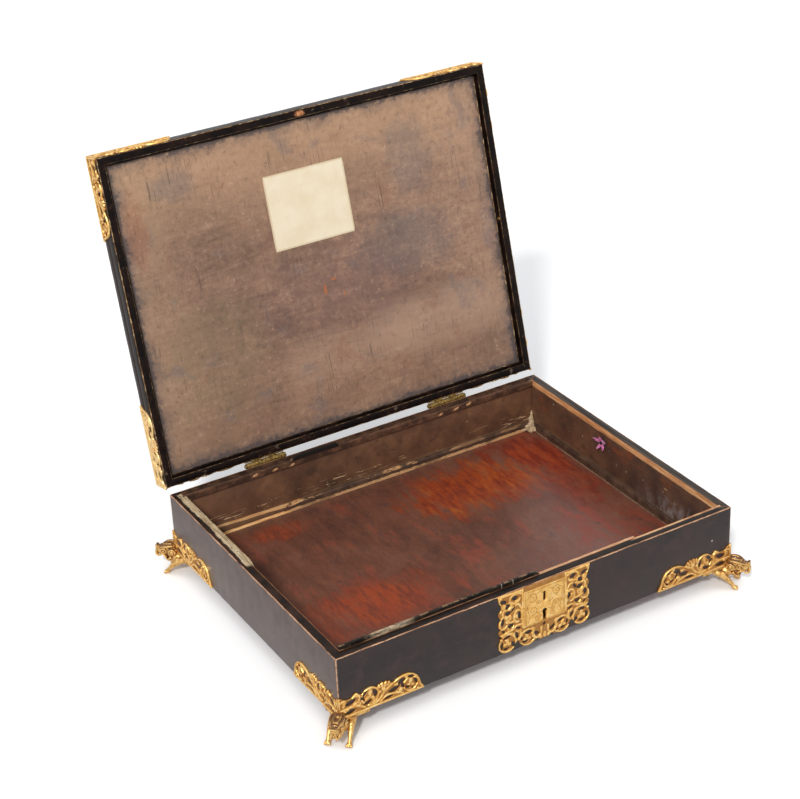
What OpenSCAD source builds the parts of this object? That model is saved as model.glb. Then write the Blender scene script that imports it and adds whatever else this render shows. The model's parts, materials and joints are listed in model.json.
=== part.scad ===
// Lacquered wooden document box with a hinged lid, openwork gilt mounts and cast beast feet.
// Millimetres. Z = 0 is the surface that the paws stand on and +Z is up.
// X runs along the front from left to right and +Y runs to the back.
// X = 0 is the middle of the width. Y = 0 is the middle of the whole depth with the lid open.
// Everything on the lid is drawn closed and then swung open about the hinge pins.

/* [Case] */
// Width of the case over the walls
case_w = 420; // [360:5:500]
// Depth of the case over the walls
case_d = 321; // [280:1:400]
// Height of the case walls
wall_h = 62.4; // [60:0.2:90]
// Thickness of the case walls
wall_t = 9.2; // [9.2:0.2:12]
// Thickness of the floor board
floor_t = 6; // [4:0.5:9]
// How far the floor board is let into the walls
floor_rebate = 4; // [3:0.5:6]
// Height of the beads along the foot of the inner walls
bead_h = 9; // [5:0.5:12]
// Thickness of the beads along the foot of the inner walls
bead_t = 3; // [2:0.5:5]

/* [Inner lip] */
// Thickness of the lip strips inside the rim
lip_t = 2.3; // [1.5:0.1:3]
// Height that an unbroken lip stands above the rim
lip_above = 4.1; // [2:0.1:4.4]
// Height of the lip strips below the rim
lip_below = 6; // [4:0.5:10]
// Height that a broken lip stands above the rim
lip_stub = 0.7; // [0.3:0.1:2]
// Unbroken run of the front lip, from the left wall
front_lip_run = 201; // [120:1:230]
// Broken run of the front lip, to the right of the unbroken run
front_stub_run = 106; // [20:1:110]
// Run of the left lip that is left, from the back wall
left_lip_run = 142; // [60:1:240]
// Length of the standing piece of the back lip
back_lip_run = 50; // [20:1:120]
// Middle of the standing piece of the back lip, from the middle of the case
back_lip_x = -57; // [-80:1:80]

/* [Lid] */
// Height of the lid from the seam to its top
lid_h = 23; // [20:0.5:30]
// Thickness of the top board of the lid
lid_board_t = 10; // [6:0.5:12]
// Width of the lid's rails at the seam
rail_w = 7.5; // [6:0.1:8.6]
// Depth of the lining board above the seam
recess = 5.6; // [5.6:0.1:8]
// Width of the beads around the lining board
lid_bead_w = 2.8; // [2:0.1:4]
// Thickness of the beads around the lining board
lid_bead_t = 0.9; // [0.5:0.1:1]
// Gap between the lid and the rim when it is closed
seam_gap = 0.3; // [0.2:0.05:0.6]
// Angle that the lid opens to
open_angle = 104.5; // [90:0.5:110]

/* [Hinges] */
// Width of each hinge
hinge_w = 42; // [30:1:60]
// Gap between the hinges and the ends of the lid's back mounts
hinge_gap = 0.3; // [0.2:0.1:20]
// Thickness of the hinge leaves
leaf_t = 1.1; // [0.8:0.1:1.6]
// Outer radius of the hinge knuckles
knuckle_r = 2.8; // [2.4:0.1:3.5]
// Radius of the hinge pins
hinge_pin_r = 1.2; // [1:0.1:1.5]
// Clearance around each hinge pin
pin_clearance = 0.04; // [0.02:0.01:0.08]
// Gap between one knuckle and the next
knuckle_gap = 0.4; // [0.3:0.1:0.8]
// Height of the leaf on the case
case_leaf_h = 22; // [14:1:30]
// Height of the leaf on the lid
lid_leaf_h = 14; // [10:0.5:14]

/* [Mounts] */
// Length of the mounts' legs along the front and back
leg_w = 84; // [60:1:100]
// Length of the mounts' legs along the sides
leg_d = 80; // [60:1:100]
// Height of the mounts at the corner
mount_h = 22.4; // [20:0.2:22.6]
// Thickness of the mounts and the lock plate
mount_t = 1.3; // [1:0.1:2]
// Height of the straight bar along the mounts' outer edge
mount_bar = 2.2; // [1.5:0.1:3]
// Radius of the nails' shanks
nail_r = 0.7; // [0.5:0.05:0.9]
// Radius of the nails' heads
nail_head_r = 1.3; // [1.1:0.1:1.8]
// Height of the nails' heads
nail_head_h = 0.6; // [0.4:0.1:1]
// Depth that the nails go into the wood
nail_grip = 5; // [3:0.5:7]

/* [Feet] */
// Height of the feet below the case
foot_h = 21; // [18:0.5:26]
// Length of the flanges that the feet are screwed on by
flange_len = 30; // [24:1:40]
// Thickness of those flanges
flange_t = 3.5; // [2.5:0.5:5]
// Distance of the paws outside the case's corner, along the diagonal
paw_out = 9.5; // [6:0.5:12]
// Distance of each paw to the side of the diagonal
paw_side = 9.5; // [7:0.5:12]
// Radius of the paws' soles
paw_r = 3.4; // [2.5:0.1:4.5]
// Distance of the snout's tip outside the case's corner, along the diagonal
snout_out = 20.5; // [18:0.5:24]
// Height of the snout above the underside of the case
snout_up = 2.5; // [0:0.5:6]
// Radius of the foot screws
screw_r = 1.3; // [1:0.1:1.6]
// Depth that the foot screws go into the walls
screw_grip = 9; // [6:1:14]

/* [Lock] */
// Width of the openwork lock plate
plate_w = 98; // [90:1:120]
// Margin of the lock plate below the rim and above the underside
plate_margin = 0.4; // [0.2:0.1:1]
// Width of the plain square in the middle of the lock plate, and of the lock
lock_w = 44; // [40:1:52]
// Height of the plain square in the middle of the lock plate, and of the lock
lock_h = 38; // [36:1:42]
// Distance of the lock below the rim
lock_drop = 5; // [4:0.5:9]
// Depth of the pocket that the lock sits in
pocket_d = 6.8; // [6:0.1:7.4]
// Thickness of the lock's metal
lock_t = 1.2; // [0.8:0.1:1.4]
// Thickness of the lock's cap
cap_t = 0.9; // [0.6:0.1:1.2]
// Distance of the keyhole below the top of the lock
keyhole_drop = 27; // [25:0.5:30]
// Radius of the round part of the keyhole
keyhole_r = 2.3; // [1.8:0.1:2.6]
// Width of the straight part of the keyhole
keyhole_w = 2.8; // [2:0.1:3.2]
// Length of the straight part of the keyhole, from its centre
keyhole_len = 9.5; // [7:0.5:10]
// Width of the slot for the hasp's staple
staple_w = 2.2; // [1.6:0.1:3]
// Height of the slot for the hasp's staple
staple_h = 9.5; // [7:0.5:11]
// Distance of the staple slot's middle below the top of the lock
staple_drop = 11.3; // [10:0.1:12]
// Travel of the bolt
bolt_travel = 6; // [4:0.5:8]
// Height of the bolt's bar
bolt_h = 5; // [4:0.5:6]
// Thickness of the bolt
bolt_t = 2; // [1.6:0.1:2.6]
// Clearance around the bolt
bolt_clearance = 0.4; // [0.3:0.05:0.6]

/* [Fittings] */
// Width of the paper label in the lid
label_w = 88; // [40:1:140]
// Height of the paper label in the lid
label_d = 74; // [40:1:120]
// Thickness of the paper label
label_t = 0.3; // [0.2:0.05:0.6]
// Middle of the label, from the middle of the lid
label_x = -4.5; // [-60:0.5:60]
// Middle of the label, from the middle of the lid, towards the back
label_y = -67.5; // [-80:0.5:60]
// Place of the stay ribbon's tack along the right wall, from the middle of the depth
tack_y = 27; // [-100:1:100]
// Height of the stay ribbon's tack above the underside of the case
tack_z = 46; // [25:1:52]
// Place of the stay ribbon's tack along the lid's right rail
lid_tack_y = -3; // [-100:1:100]
// Radius of the tacks' heads
tack_r = 1.8; // [1.2:0.1:2.4]
// Length and height of the scrap of ribbon under the tack
scrap_size = 15; // [10:0.5:20]
// Thickness of the scrap of ribbon
scrap_t = 1.6; // [1:0.1:3]

/* [Hidden] */
$fn = 48;
// Gap between a leaf and the knuckles that turn beside it
leaf_gap = 0.3;
// Distance of the hinge pins behind the case
axis_back = leaf_t + knuckle_r + leaf_gap;
hw = case_w / 2;
hd = case_d / 2;
hinge_x = hw - leg_w - hinge_gap - hinge_w / 2;
z_case = foot_h;
z_rim = foot_h + wall_h;
z_floor = foot_h + floor_t;
z_lining = z_rim + seam_gap + recess;
z_lid = z_rim + seam_gap + lid_h;
z_board = z_lid - lid_board_t;
in_w = hw - wall_t;
in_d = hd - wall_t;
// The open lid reaches this far behind the case, and the feet this far in front of it
lid_reach = (case_d + axis_back + mount_t) * -cos(open_angle) + (seam_gap + lid_h) * sin(open_angle) + axis_back;
nose_r = 1.7;
foot_reach = max(snout_out * sin(45) + nose_r, (paw_out + paw_side) * sin(45) + paw_r);
// Middle of the case, placed so that the whole open box is centred on Y = 0
case_y = (foot_reach - lid_reach) / 2;
inner_y = -in_d;
knuckles = 5;
knuckle_w = hinge_w / knuckles;
// Nails along a mount's leg, as shares of its length, with their heights as shares of mount_h
LEG_NAILS = [[0.09, 0.36], [0.475, 0.62], [0.92, 0.1]];
// Openings of a mount's leg: place along an 84 mm leg, height on a 22.4 mm mount, radius
LEG_HOLES = [
    [8.6, 4.6, 1.4], [11.6, 4.4, 1.9], [15.2, 4, 1.3], [9.4, 14.2, 2.1], [12.4, 15, 1.7],
    [22.4, 12.8, 1.7], [27.2, 17.6, 2.1], [33.6, 13.6, 2.4], [28, 5.6, 2.1], [31, 7.6, 1.4],
    [45.6, 4.2, 1.2], [48.6, 4.6, 1.4], [52, 9.2, 2.4], [55.6, 11.2, 2], [61.4, 16.2, 2.4],
    [62.6, 11.8, 1.9], [69.4, 15.4, 2.1], [74.2, 8.2, 2], [73.4, 11.8, 1.4], [66.6, 6.2, 1.8]];
// Lobes of a mount's leg: place along an 84 mm leg, height on a 22.4 mm mount, radius
LEG_LOBES = [
    [17.4, 17.6, 4], [30, 13.4, 8.8], [38.2, 19, 2.2], [41.8, 19.8, 2.3], [45.4, 19.8, 2.3],
    [49, 18.8, 2.2], [65.5, 10.8, 11]];
// Openings of half of the lock plate: place from the middle, height below its top, radius
PLATE_UPPER_HOLES = [
    [42.8, 6.4, 3], [30.2, 7, 3.2], [38.8, 13.4, 2.9], [33, 17.6, 1.6], [36.6, 20.4, 3],
    [27, 26.6, 2.7], [43, 28, 2.7], [35.6, 34.6, 3.1], [27, 40, 1.9], [44.8, 38, 1.7]];
// Openings of half of the lock plate: place from the middle, height above its bottom, radius
PLATE_LOWER_HOLES = [
    [29.2, 14.6, 2.2], [40.6, 16.2, 3.2], [44.8, 9, 2.5], [33, 7, 2.9], [40.6, 4.8, 2],
    [17.2, 13.4, 2.9], [8.4, 8.6, 2.6], [20.6, 5, 2.2], [12.6, 4.6, 1.2]];
// Lobes of half of the lock plate: place from the middle, height above its bottom, radius
PLATE_LOBES = [[39.6, 9.4, 9.4], [18.4, 8.4, 8.4], [9, 5, 4.4], [43.6, 30, 5.4], [45, 22, 4], [45, 41, 4]];
// Nails of half of the lock plate: place from the middle, height below its top
PLATE_NAILS = [[46, 1.9], [24.2, 20], [46.4, 45.6]];

// Helpers

// Moves the case's own middle to its place in the frame of the whole box
module at_case() {
    translate([0, case_y, 0]) children();
}

// Swings what is drawn closed to the open lid's place
module on_lid() {
    at_case()
    translate([0, hd + axis_back, z_rim])
    rotate([-open_angle, 0, 0])
    translate([0, -hd - axis_back, -z_rim])
    children();
}

// Puts a piece drawn for the front left corner at another corner
module corner(right, back) {
    mirror([right ? 1 : 0, 0, 0])
    mirror([0, back ? 1 : 0, 0])
    children();
}

// One side of a mitred frame that lies along the front
module mitred(w, d, t, h) {
    linear_extrude(h)
    polygon([[-w / 2, -d / 2], [w / 2, -d / 2], [w / 2 - t, -d / 2 + t], [-w / 2 + t, -d / 2 + t]]);
}

// The same, along the left side
module mitred_side(w, d, t, h) {
    linear_extrude(h)
    polygon([[-w / 2, -d / 2], [-w / 2 + t, -d / 2 + t], [-w / 2 + t, d / 2 - t], [-w / 2, d / 2]]);
}

// A nail along +Y: its head stands in front of Y = 0, less what the fitting takes
module nail(fitting, grip) {
    rotate([-90, 0, 0]) {
        translate([0, 0, -fitting - nail_head_h]) cylinder(r = nail_head_r, h = nail_head_h);
        translate([0, 0, -fitting]) cylinder(r = nail_r, h = fitting + grip);
    }
}

// The hole for such a nail
module nail_hole(fitting, grip) {
    rotate([-90, 0, 0]) translate([0, 0, -fitting]) cylinder(r = nail_r, h = fitting + grip);
}

// Places of the nails in a mount that is drawn for the front left corner, upright on Z = 0
module at_leg_nails() {
    for (n = LEG_NAILS) {
        translate([-hw + n[0] * leg_w, -hd, n[1] * mount_h]) children();
        translate([-hw, -hd + n[0] * leg_d, n[1] * mount_h]) rotate([0, 0, -90]) children();
    }
}

// Puts a mount that is drawn upright on Z = 0 upside down under the lid's top
module under_lid_top() {
    translate([0, 0, z_lid]) mirror([0, 0, 1]) children();
}

module at_all_corners() {
    for (right = [false, true])
        for (back = [false, true])
            corner(right, back) children();
}

// Case

module front_wall_blank() {
    difference() {
        translate([0, 0, z_case]) mitred(case_w, case_d, wall_t, wall_h);
        floor_space();
    }
}

module side_wall_blank() {
    difference() {
        translate([0, 0, z_case]) mitred_side(case_w, case_d, wall_t, wall_h);
        floor_space();
    }
}

module floor_space() {
    translate([-in_w - floor_rebate, -in_d - floor_rebate, z_case])
    cube([2 * (in_w + floor_rebate), 2 * (in_d + floor_rebate), floor_t]);
}

module floor_board() {
    color([0.52, 0.2, 0.09]) at_case() floor_space();
}

module case_nail_holes() {
    at_all_corners() translate([0, 0, z_case]) at_leg_nails() nail_hole(0, nail_grip);
}

module foot_screw_holes() {
    at_all_corners() at_foot_screws() translate([0, 0, z_case]) cylinder(r = screw_r, h = screw_grip);
}

module lock_pocket() {
    translate([-lock_w / 2, inner_y - pocket_d, z_rim - lock_drop - lock_h]) cube([lock_w, pocket_d, lock_h]);
}

// The keyhole and the staple's slot, cut along Y from y0 over the length len
module lock_holes(y0, len) {
    translate([0, y0, z_rim - lock_drop]) {
        translate([0, 0, -keyhole_drop]) {
            rotate([-90, 0, 0]) cylinder(r = keyhole_r, h = len);
            translate([-keyhole_w / 2, 0, -keyhole_len]) cube([keyhole_w, len, keyhole_len]);
        }
        translate([-staple_w / 2, 0, -staple_drop - staple_h / 2]) cube([staple_w, len, staple_h]);
    }
}

module front_wall() {
    color([0.16, 0.13, 0.12]) at_case() difference() {
        front_wall_blank();
        lock_pocket();
        lock_holes(-hd - 1, wall_t);
        case_nail_holes();
        foot_screw_holes();
        at_plate_nails() nail_hole(0, wall_t - pocket_d - 0.4);
    }
}

module back_wall() {
    color([0.16, 0.13, 0.12]) at_case() difference() {
        mirror([0, 1, 0]) front_wall_blank();
        case_nail_holes();
        foot_screw_holes();
        at_case_leaf_nails() nail_hole(0, wall_t);
    }
}

module left_wall() {
    color([0.2, 0.17, 0.17]) at_case() difference() {
        side_wall_blank();
        case_nail_holes();
        foot_screw_holes();
    }
}

module right_wall() {
    color([0.16, 0.13, 0.12]) at_case() difference() {
        mirror([1, 0, 0]) side_wall_blank();
        case_nail_holes();
        foot_screw_holes();
        at_ribbon_tack() nail_hole(0, nail_grip);
    }
}

// A bead along the front, standing in the angle of floor and wall
module long_bead() {
    translate([-in_w, -in_d, z_floor])
    rotate([90, 0, 90])
    linear_extrude(2 * in_w)
    polygon([[0, 0], [bead_t, 0], [bead_t, bead_h - bead_t], [bead_t / 2, bead_h], [0, bead_h]]);
}

module short_bead() {
    translate([-in_w, in_d - bead_t, z_floor])
    rotate([90, 0, 0])
    linear_extrude(2 * (in_d - bead_t))
    polygon([[0, 0], [bead_t, 0], [bead_t, bead_h - bead_t], [bead_t / 2, bead_h], [0, bead_h]]);
}

module front_bead() { color([0.2, 0.13, 0.09]) at_case() long_bead(); }
module back_bead() { color([0.2, 0.13, 0.09]) at_case() mirror([0, 1, 0]) long_bead(); }
module left_bead() { color([0.2, 0.13, 0.09]) at_case() short_bead(); }
module right_bead() { color([0.2, 0.13, 0.09]) at_case() mirror([1, 0, 0]) short_bead(); }

// The front lip stands unbroken to the left of the lock and is broken off short to the right of it
module front_lip() {
    color([0.14, 0.11, 0.1]) at_case() translate([-in_w, -in_d, z_rim - lip_below]) {
        cube([front_lip_run, lip_t, lip_below + lip_above]);
        cube([front_lip_run + front_stub_run, lip_t, lip_below + lip_stub]);
    }
}

module left_lip() {
    color([0.8, 0.7, 0.52]) at_case()
    translate([-in_w, in_d - lip_t - left_lip_run, z_rim - lip_below])
    cube([lip_t, left_lip_run, lip_below + lip_stub]);
}

module back_lip() {
    color([0.14, 0.11, 0.1]) at_case() difference() {
        translate([0, in_d - lip_t, z_rim - lip_below]) {
            translate([-in_w, 0, 0]) cube([2 * in_w, lip_t, lip_below]);
            translate([back_lip_x - back_lip_run / 2, 0, 0]) cube([back_lip_run, lip_t, lip_below + lip_above]);
        }
        at_case_leaf_nails() nail_hole(0, wall_t + lip_t);
    }
}

// Mounts

// Outline of a mount's leg of length len: X runs from the corner, Y is the height
module leg_shape(len) {
    k = len / 84;
    v = mount_h / 22.4;
    difference() {
        union() {
            square([len, mount_bar]);
            polygon([
                [0, 0], [0, mount_h], [6 * k, 19 * v], [14 * k, 19.6 * v], [24 * k, 17 * v],
                [50 * k, 17.4 * v], [60 * k, 15 * v], [76 * k, 12 * v], [81 * k, 4 * v], [len, 0]]);
            for (c = LEG_LOBES) translate([c[0] * k, c[1] * v]) circle(r = c[2] * v);
        }
        for (c = LEG_HOLES) translate([c[0] * k, c[1] * v]) circle(r = c[2] * v);
    }
}

// An openwork mount for the front left corner, upright on Z = 0
module mount() {
    difference() {
        union() {
            translate([-hw, -hd, 0]) rotate([90, 0, 0]) linear_extrude(mount_t) leg_shape(leg_w);
            translate([-hw - mount_t, -hd, 0]) rotate([90, 0, 90]) linear_extrude(mount_t) leg_shape(leg_d);
            translate([-hw - mount_t, -hd - mount_t, 0]) cube([mount_t, mount_t, mount_h]);
        }
        at_leg_nails() nail_hole(mount_t, 1);
    }
}

module case_mount(right, back) {
    color([0.85, 0.66, 0.32]) at_case() corner(right, back) translate([0, 0, z_case]) mount();
}

module lid_mount(right, back) {
    color([0.85, 0.66, 0.32]) on_lid() under_lid_top() corner(right, back) mount();
}

module case_mount_nails() {
    color([0.8, 0.6, 0.28]) at_case() at_all_corners()
    translate([0, 0, z_case]) at_leg_nails() nail(mount_t, nail_grip);
}

module lid_mount_nails() {
    color([0.8, 0.6, 0.28]) on_lid() under_lid_top() at_all_corners() at_leg_nails() nail(mount_t, nail_grip);
}

// Feet

// Places of the two screws of the front left foot
module at_foot_screws() {
    in = (wall_t - floor_rebate) / 2;
    translate([-hw + flange_len - 6, -hd + in, 0]) children();
    translate([-hw + in, -hd + flange_len - 6, 0]) children();
}

// A ball for the rounded forms of the beast, in shares of a 21 mm high foot
module ball(p, r) {
    k = foot_h / 21;
    translate(p) sphere(r = r * k, $fn = 16);
}

// The beast: X runs outwards along the diagonal and Z = 0 is the ground
module beast() {
    k = foot_h / 21;
    head_z = foot_h + snout_up;
    // Chest and neck, under and just outside the corner
    hull() {
        ball([-5 * k, 0, foot_h - 8.5 * k], 6.5);
        ball([3 * k, 0, foot_h - 9 * k], 5.5);
    }
    hull() {
        ball([2 * k, 0, foot_h - 8 * k], 5);
        ball([snout_out - 12 * k, 0, head_z - k], 5.4);
    }
    // Muzzle
    hull() {
        ball([snout_out - 11.5 * k, 0, head_z - k], 4.8);
        ball([snout_out - 3.4 * k, 0, head_z - k], 3.2);
    }
    ball([snout_out - nose_r / 2, 0, head_z + 1.4 * k], nose_r / k);
    // Lower jaw, hanging open
    hull() {
        ball([5 * k, 0, foot_h - 8 * k], 3.2);
        ball([snout_out - 7.3 * k, 0, foot_h - 11.4 * k], 1.8);
    }
    for (side = [-1, 1]) {
        // Brow, ear and a curl of the mane
        ball([snout_out - 11.1 * k, side * 3 * k, head_z + 3.2 * k], 2.2);
        ball([3.6 * k, side * 4.8 * k, head_z + 1.2 * k], 2.6);
        ball([2.6 * k, side * 5.4 * k, foot_h - 5 * k], 3.2);
        // Foreleg, paw and toes
        hull() {
            ball([-4 * k, side * 6 * k, foot_h - 8.5 * k], 4.2);
            ball([paw_out - k, side * paw_side, 4.2 * k], 2.5);
        }
        translate([paw_out, side * paw_side, 0]) cylinder(r = paw_r, h = 3 * k);
    }
}

// The front left foot
module foot_shape() {
    difference() {
        union() {
            translate([-hw, -hd, 0]) rotate([0, 0, -135]) beast();
            translate([-hw, -hd, z_case - flange_t]) {
                cube([flange_len, wall_t, flange_t]);
                cube([wall_t, flange_len, flange_t]);
            }
        }
        // Seat against the underside and the corner mount
        translate([-hw - mount_t, -hd - mount_t, z_case]) cube([2 * flange_len, 2 * flange_len, mount_h + 10]);
        at_foot_screws() translate([0, 0, z_case - flange_t - 1]) cylinder(r = screw_r, h = flange_t + 2);
    }
}

module foot(right, back) {
    color([0.82, 0.62, 0.28]) at_case() corner(right, back) foot_shape();
}

module foot_screws() {
    color([0.5, 0.42, 0.3]) at_case() at_all_corners() at_foot_screws() {
        translate([0, 0, z_case - flange_t]) cylinder(r = screw_r, h = flange_t + screw_grip);
        translate([0, 0, z_case - flange_t - 1.2]) cylinder(r = 2 * screw_r, h = 1.2);
    }
}

// Lock

// Places of the lock plate's nails
module at_plate_nails() {
    for (side = [-1, 1])
        for (n = PLATE_NAILS)
            translate([side * n[0] * plate_w / 98, -hd, z_rim - plate_margin - n[1] * plate_v()]) children();
}

// The plate's height as a share of the height that the lists are given for
function plate_v() = (wall_h - 2 * plate_margin) / 61.6;

// Half of the lock plate's openings, on a plate whose bottom edge is Y = 0
module plate_holes(h, k, v) {
    for (c = PLATE_UPPER_HOLES) translate([c[0] * k, h - c[1] * v]) circle(r = c[2] * v);
    for (c = PLATE_LOWER_HOLES) translate([c[0] * k, c[1] * v]) circle(r = c[2] * v);
}

// Outline of the lock plate, with lobes along its sides and its bottom edge
module plate_shape(h) {
    k = plate_w / 98;
    v = h / 61.6;
    difference() {
        union() {
            translate([-46 * k, 9.4 * v]) square([92 * k, h - 9.4 * v]);
            translate([-49 * k, h - 5 * v]) square([98 * k, 5 * v]);
            translate([-27 * k, 5 * v]) square([54 * k, 8 * v]);
            for (c = PLATE_LOBES)
                for (side = [-1, 1])
                    translate([side * c[0] * k, c[1] * v]) circle(r = c[2] * v);
        }
        plate_holes(h, k, v);
        mirror([1, 0]) plate_holes(h, k, v);
    }
}

module lock_plate() {
    h = wall_h - 2 * plate_margin;
    color([0.88, 0.7, 0.36]) at_case() difference() {
        union() {
            translate([0, -hd, z_case + plate_margin]) rotate([90, 0, 0]) linear_extrude(mount_t) plate_shape(h);
            // The plain square stands a little proud
            translate([-lock_w / 2, -hd - mount_t - 0.3, z_rim - lock_drop - lock_h]) cube([lock_w, 0.5, lock_h]);
        }
        lock_holes(-hd - mount_t - 1, mount_t + 2);
        at_plate_nails() nail_hole(mount_t, 1);
    }
}

module lock_plate_nails() {
    color([0.8, 0.6, 0.28]) at_case() at_plate_nails() nail(mount_t, wall_t - pocket_d - 0.4);
}

// The lock's tray: its plate is flush with the inner face of the front wall
module lock_case() {
    color([0.42, 0.36, 0.28]) at_case() translate([0, inner_y, z_rim - lock_drop - lock_h]) {
        difference() {
            translate([-lock_w / 2, cap_t - pocket_d, 0]) cube([lock_w, pocket_d - cap_t, lock_h]);
            translate([lock_t - lock_w / 2, -pocket_d, lock_t])
            cube([lock_w - 2 * lock_t, pocket_d - lock_t, lock_h - 2 * lock_t]);
        }
        // Ledges that the bolt slides on
        for (x = [-14, 9])
            translate([x, -lock_t - bolt_clearance - bolt_t, bolt_low_z() - bolt_clearance - 1.6])
            cube([6, bolt_t + bolt_clearance, 1.6]);
    }
}

module lock_cap() {
    color([0.45, 0.38, 0.3]) at_case() difference() {
        translate([-lock_w / 2, inner_y - pocket_d, z_rim - lock_drop - lock_h]) cube([lock_w, cap_t, lock_h]);
        lock_holes(inner_y - pocket_d - 1, cap_t + 2);
    }
}

// Heights in the lock, above its lower edge
function bolt_bar_z() = lock_h - staple_drop - bolt_h / 2;
function bolt_low_z() = lock_h - keyhole_drop + 6.6;

// The bolt, drawn back: its bar goes through the hasp's staple when the key slides it to the right
module lock_bolt() {
    tip = -staple_w / 2 - 1.4;
    tail = tip - 14;
    color([0.55, 0.5, 0.42]) at_case()
    translate([0, inner_y - lock_t - bolt_clearance - bolt_t, z_rim - lock_drop - lock_h])
    difference() {
        union() {
            translate([tail, 0, bolt_bar_z()]) cube([tip - tail, bolt_t, bolt_h]);
            translate([tail, 0, bolt_low_z()]) cube([5, bolt_t, bolt_bar_z() - bolt_low_z() + 1]);
            translate([tail, 0, bolt_low_z()]) cube([29, bolt_t, 3]);
        }
        // Notch that the key's bit turns in
        translate([-3, -1, bolt_low_z() - 1]) cube([6, bolt_t + 2, 2.6]);
    }
}

module key_post() {
    color([0.5, 0.44, 0.34]) at_case()
    translate([0, inner_y - lock_t, z_rim - lock_drop - keyhole_drop])
    rotate([90, 0, 0]) cylinder(r = 1, h = wall_t - lock_t - 0.5);
}

// A leaf spring, riveted at the right, that rests on the bolt's bar
module bolt_spring() {
    z = bolt_bar_z() + bolt_h + 0.15;
    right = lock_w / 2 - lock_t;
    color([0.5, 0.5, 0.52]) at_case()
    translate([0, inner_y - lock_t - bolt_clearance - bolt_t / 2, z_rim - lock_drop - lock_h])
    rotate([90, 0, 0]) linear_extrude(bolt_t, center = true)
    polygon([
        [-13, z], [-11.5, z], [-4, z + 2.4], [right - 2, z + 2.8], [right - 2, z - 2],
        [right, z - 2], [right, z + 3.4], [-4.2, z + 3], [-13, z + 0.6]]);
}

// Hinges

module at_case_leaf_nails() {
    for (x = [-hinge_x, hinge_x])
        for (k = [-1, 0, 1])
            translate([x + k * (hinge_w / 2 - 2.4), hd, z_rim - knuckle_r - nail_head_r - 0.2]) rotate([0, 0, 180]) children();
}

module at_lid_leaf_nails() {
    for (x = [-hinge_x, hinge_x])
        for (k = [-1, 0, 1])
            translate([x + k * (hinge_w / 2 - 2.6), hd, z_rim + seam_gap + lid_leaf_h - 3.4])
            rotate([0, 0, 180]) children();
}

// Outline of a leaf that hangs down from Y = 0: a plate with three lobes
module leaf_shape(h) {
    r = hinge_w / 6;
    translate([-hinge_w / 2, -h + r]) square([hinge_w, h - r]);
    for (k = [-1, 0, 1]) translate([k * 2 * r, -h + r]) circle(r = r);
}

// Knuckles number first, first + 2 and so on, around the pin at the origin
module knuckle_row(first, bore) {
    for (k = [first : 2 : knuckles - 1])
        translate([-hinge_w / 2 + k * knuckle_w + knuckle_gap / 2, 0, 0])
        rotate([0, 90, 0])
        difference() {
            union() {
                cylinder(r = knuckle_r, h = knuckle_w - knuckle_gap);
                // Web down to the leaf
                translate([0, -axis_back, 0]) cube([knuckle_r, axis_back, knuckle_w - knuckle_gap]);
            }
            translate([0, 0, -1]) cylinder(r = bore, h = knuckle_w + 2);
        }
}

module case_leaf(x) {
    color([0.83, 0.64, 0.3]) at_case() translate([x, hd + axis_back, z_rim]) {
        difference() {
            translate([0, leaf_t - axis_back, -leaf_gap]) rotate([90, 0, 0]) linear_extrude(leaf_t)
            leaf_shape(case_leaf_h);
            translate([-x, -hd - axis_back, -z_rim]) at_case_leaf_nails() nail_hole(leaf_t, 1);
        }
        knuckle_row(0, hinge_pin_r + pin_clearance / 2);
    }
}

module lid_leaf(x) {
    color([0.83, 0.64, 0.3]) on_lid() translate([x, hd + axis_back, z_rim]) {
        difference() {
            translate([0, leaf_t - axis_back, seam_gap + leaf_gap]) rotate([90, 0, 0]) linear_extrude(leaf_t)
            mirror([0, 1]) leaf_shape(lid_leaf_h - leaf_gap);
            translate([-x, -hd - axis_back, -z_rim]) at_lid_leaf_nails() nail_hole(leaf_t, 1);
        }
        mirror([0, 0, 1]) knuckle_row(1, hinge_pin_r + pin_clearance);
    }
}

module hinge_pin(x) {
    color([0.78, 0.6, 0.3]) at_case() translate([x, hd + axis_back, z_rim]) rotate([0, 90, 0]) {
        cylinder(r = hinge_pin_r, h = hinge_w, center = true);
        for (side = [-1, 1]) translate([0, 0, side * (hinge_w / 2 + 0.7)]) cylinder(r = 2, h = 1.4, center = true);
    }
}

module case_hinge_nails() {
    color([0.8, 0.6, 0.28]) at_case() at_case_leaf_nails() nail(leaf_t, wall_t + lip_t + 0.4);
}

module lid_hinge_nails() {
    color([0.8, 0.6, 0.28]) on_lid() at_lid_leaf_nails() nail(leaf_t, rail_w - 1);
}

// Lid

module lid_nail_holes() {
    under_lid_top() at_all_corners() at_leg_nails() nail_hole(0, nail_grip);
}

module lid_board() {
    color([0.17, 0.14, 0.13]) on_lid() difference() {
        translate([-hw, -hd, z_board]) cube([case_w, case_d, lid_board_t]);
        lid_nail_holes();
    }
}

module lid_lining() {
    color([0.58, 0.47, 0.38]) on_lid()
    translate([-hw + rail_w, -hd + rail_w, z_lining])
    cube([case_w - 2 * rail_w, case_d - 2 * rail_w, z_board - z_lining]);
}

module rail_blank() {
    translate([0, 0, z_rim + seam_gap]) mitred(case_w, case_d, rail_w, z_board - z_rim - seam_gap);
}

module side_rail_blank() {
    translate([0, 0, z_rim + seam_gap]) mitred_side(case_w, case_d, rail_w, z_board - z_rim - seam_gap);
}

// The two holes of the lost hasp go through the front rail
module hasp_holes() {
    for (x = [-6, 6])
        translate([x, -hd - 1, z_rim + seam_gap + 8]) rotate([-90, 0, 0]) cylinder(r = nail_r, h = rail_w + 2);
}

module lid_front_rail() {
    color([0.15, 0.12, 0.11]) on_lid() difference() {
        rail_blank();
        lid_nail_holes();
        hasp_holes();
    }
}

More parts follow.
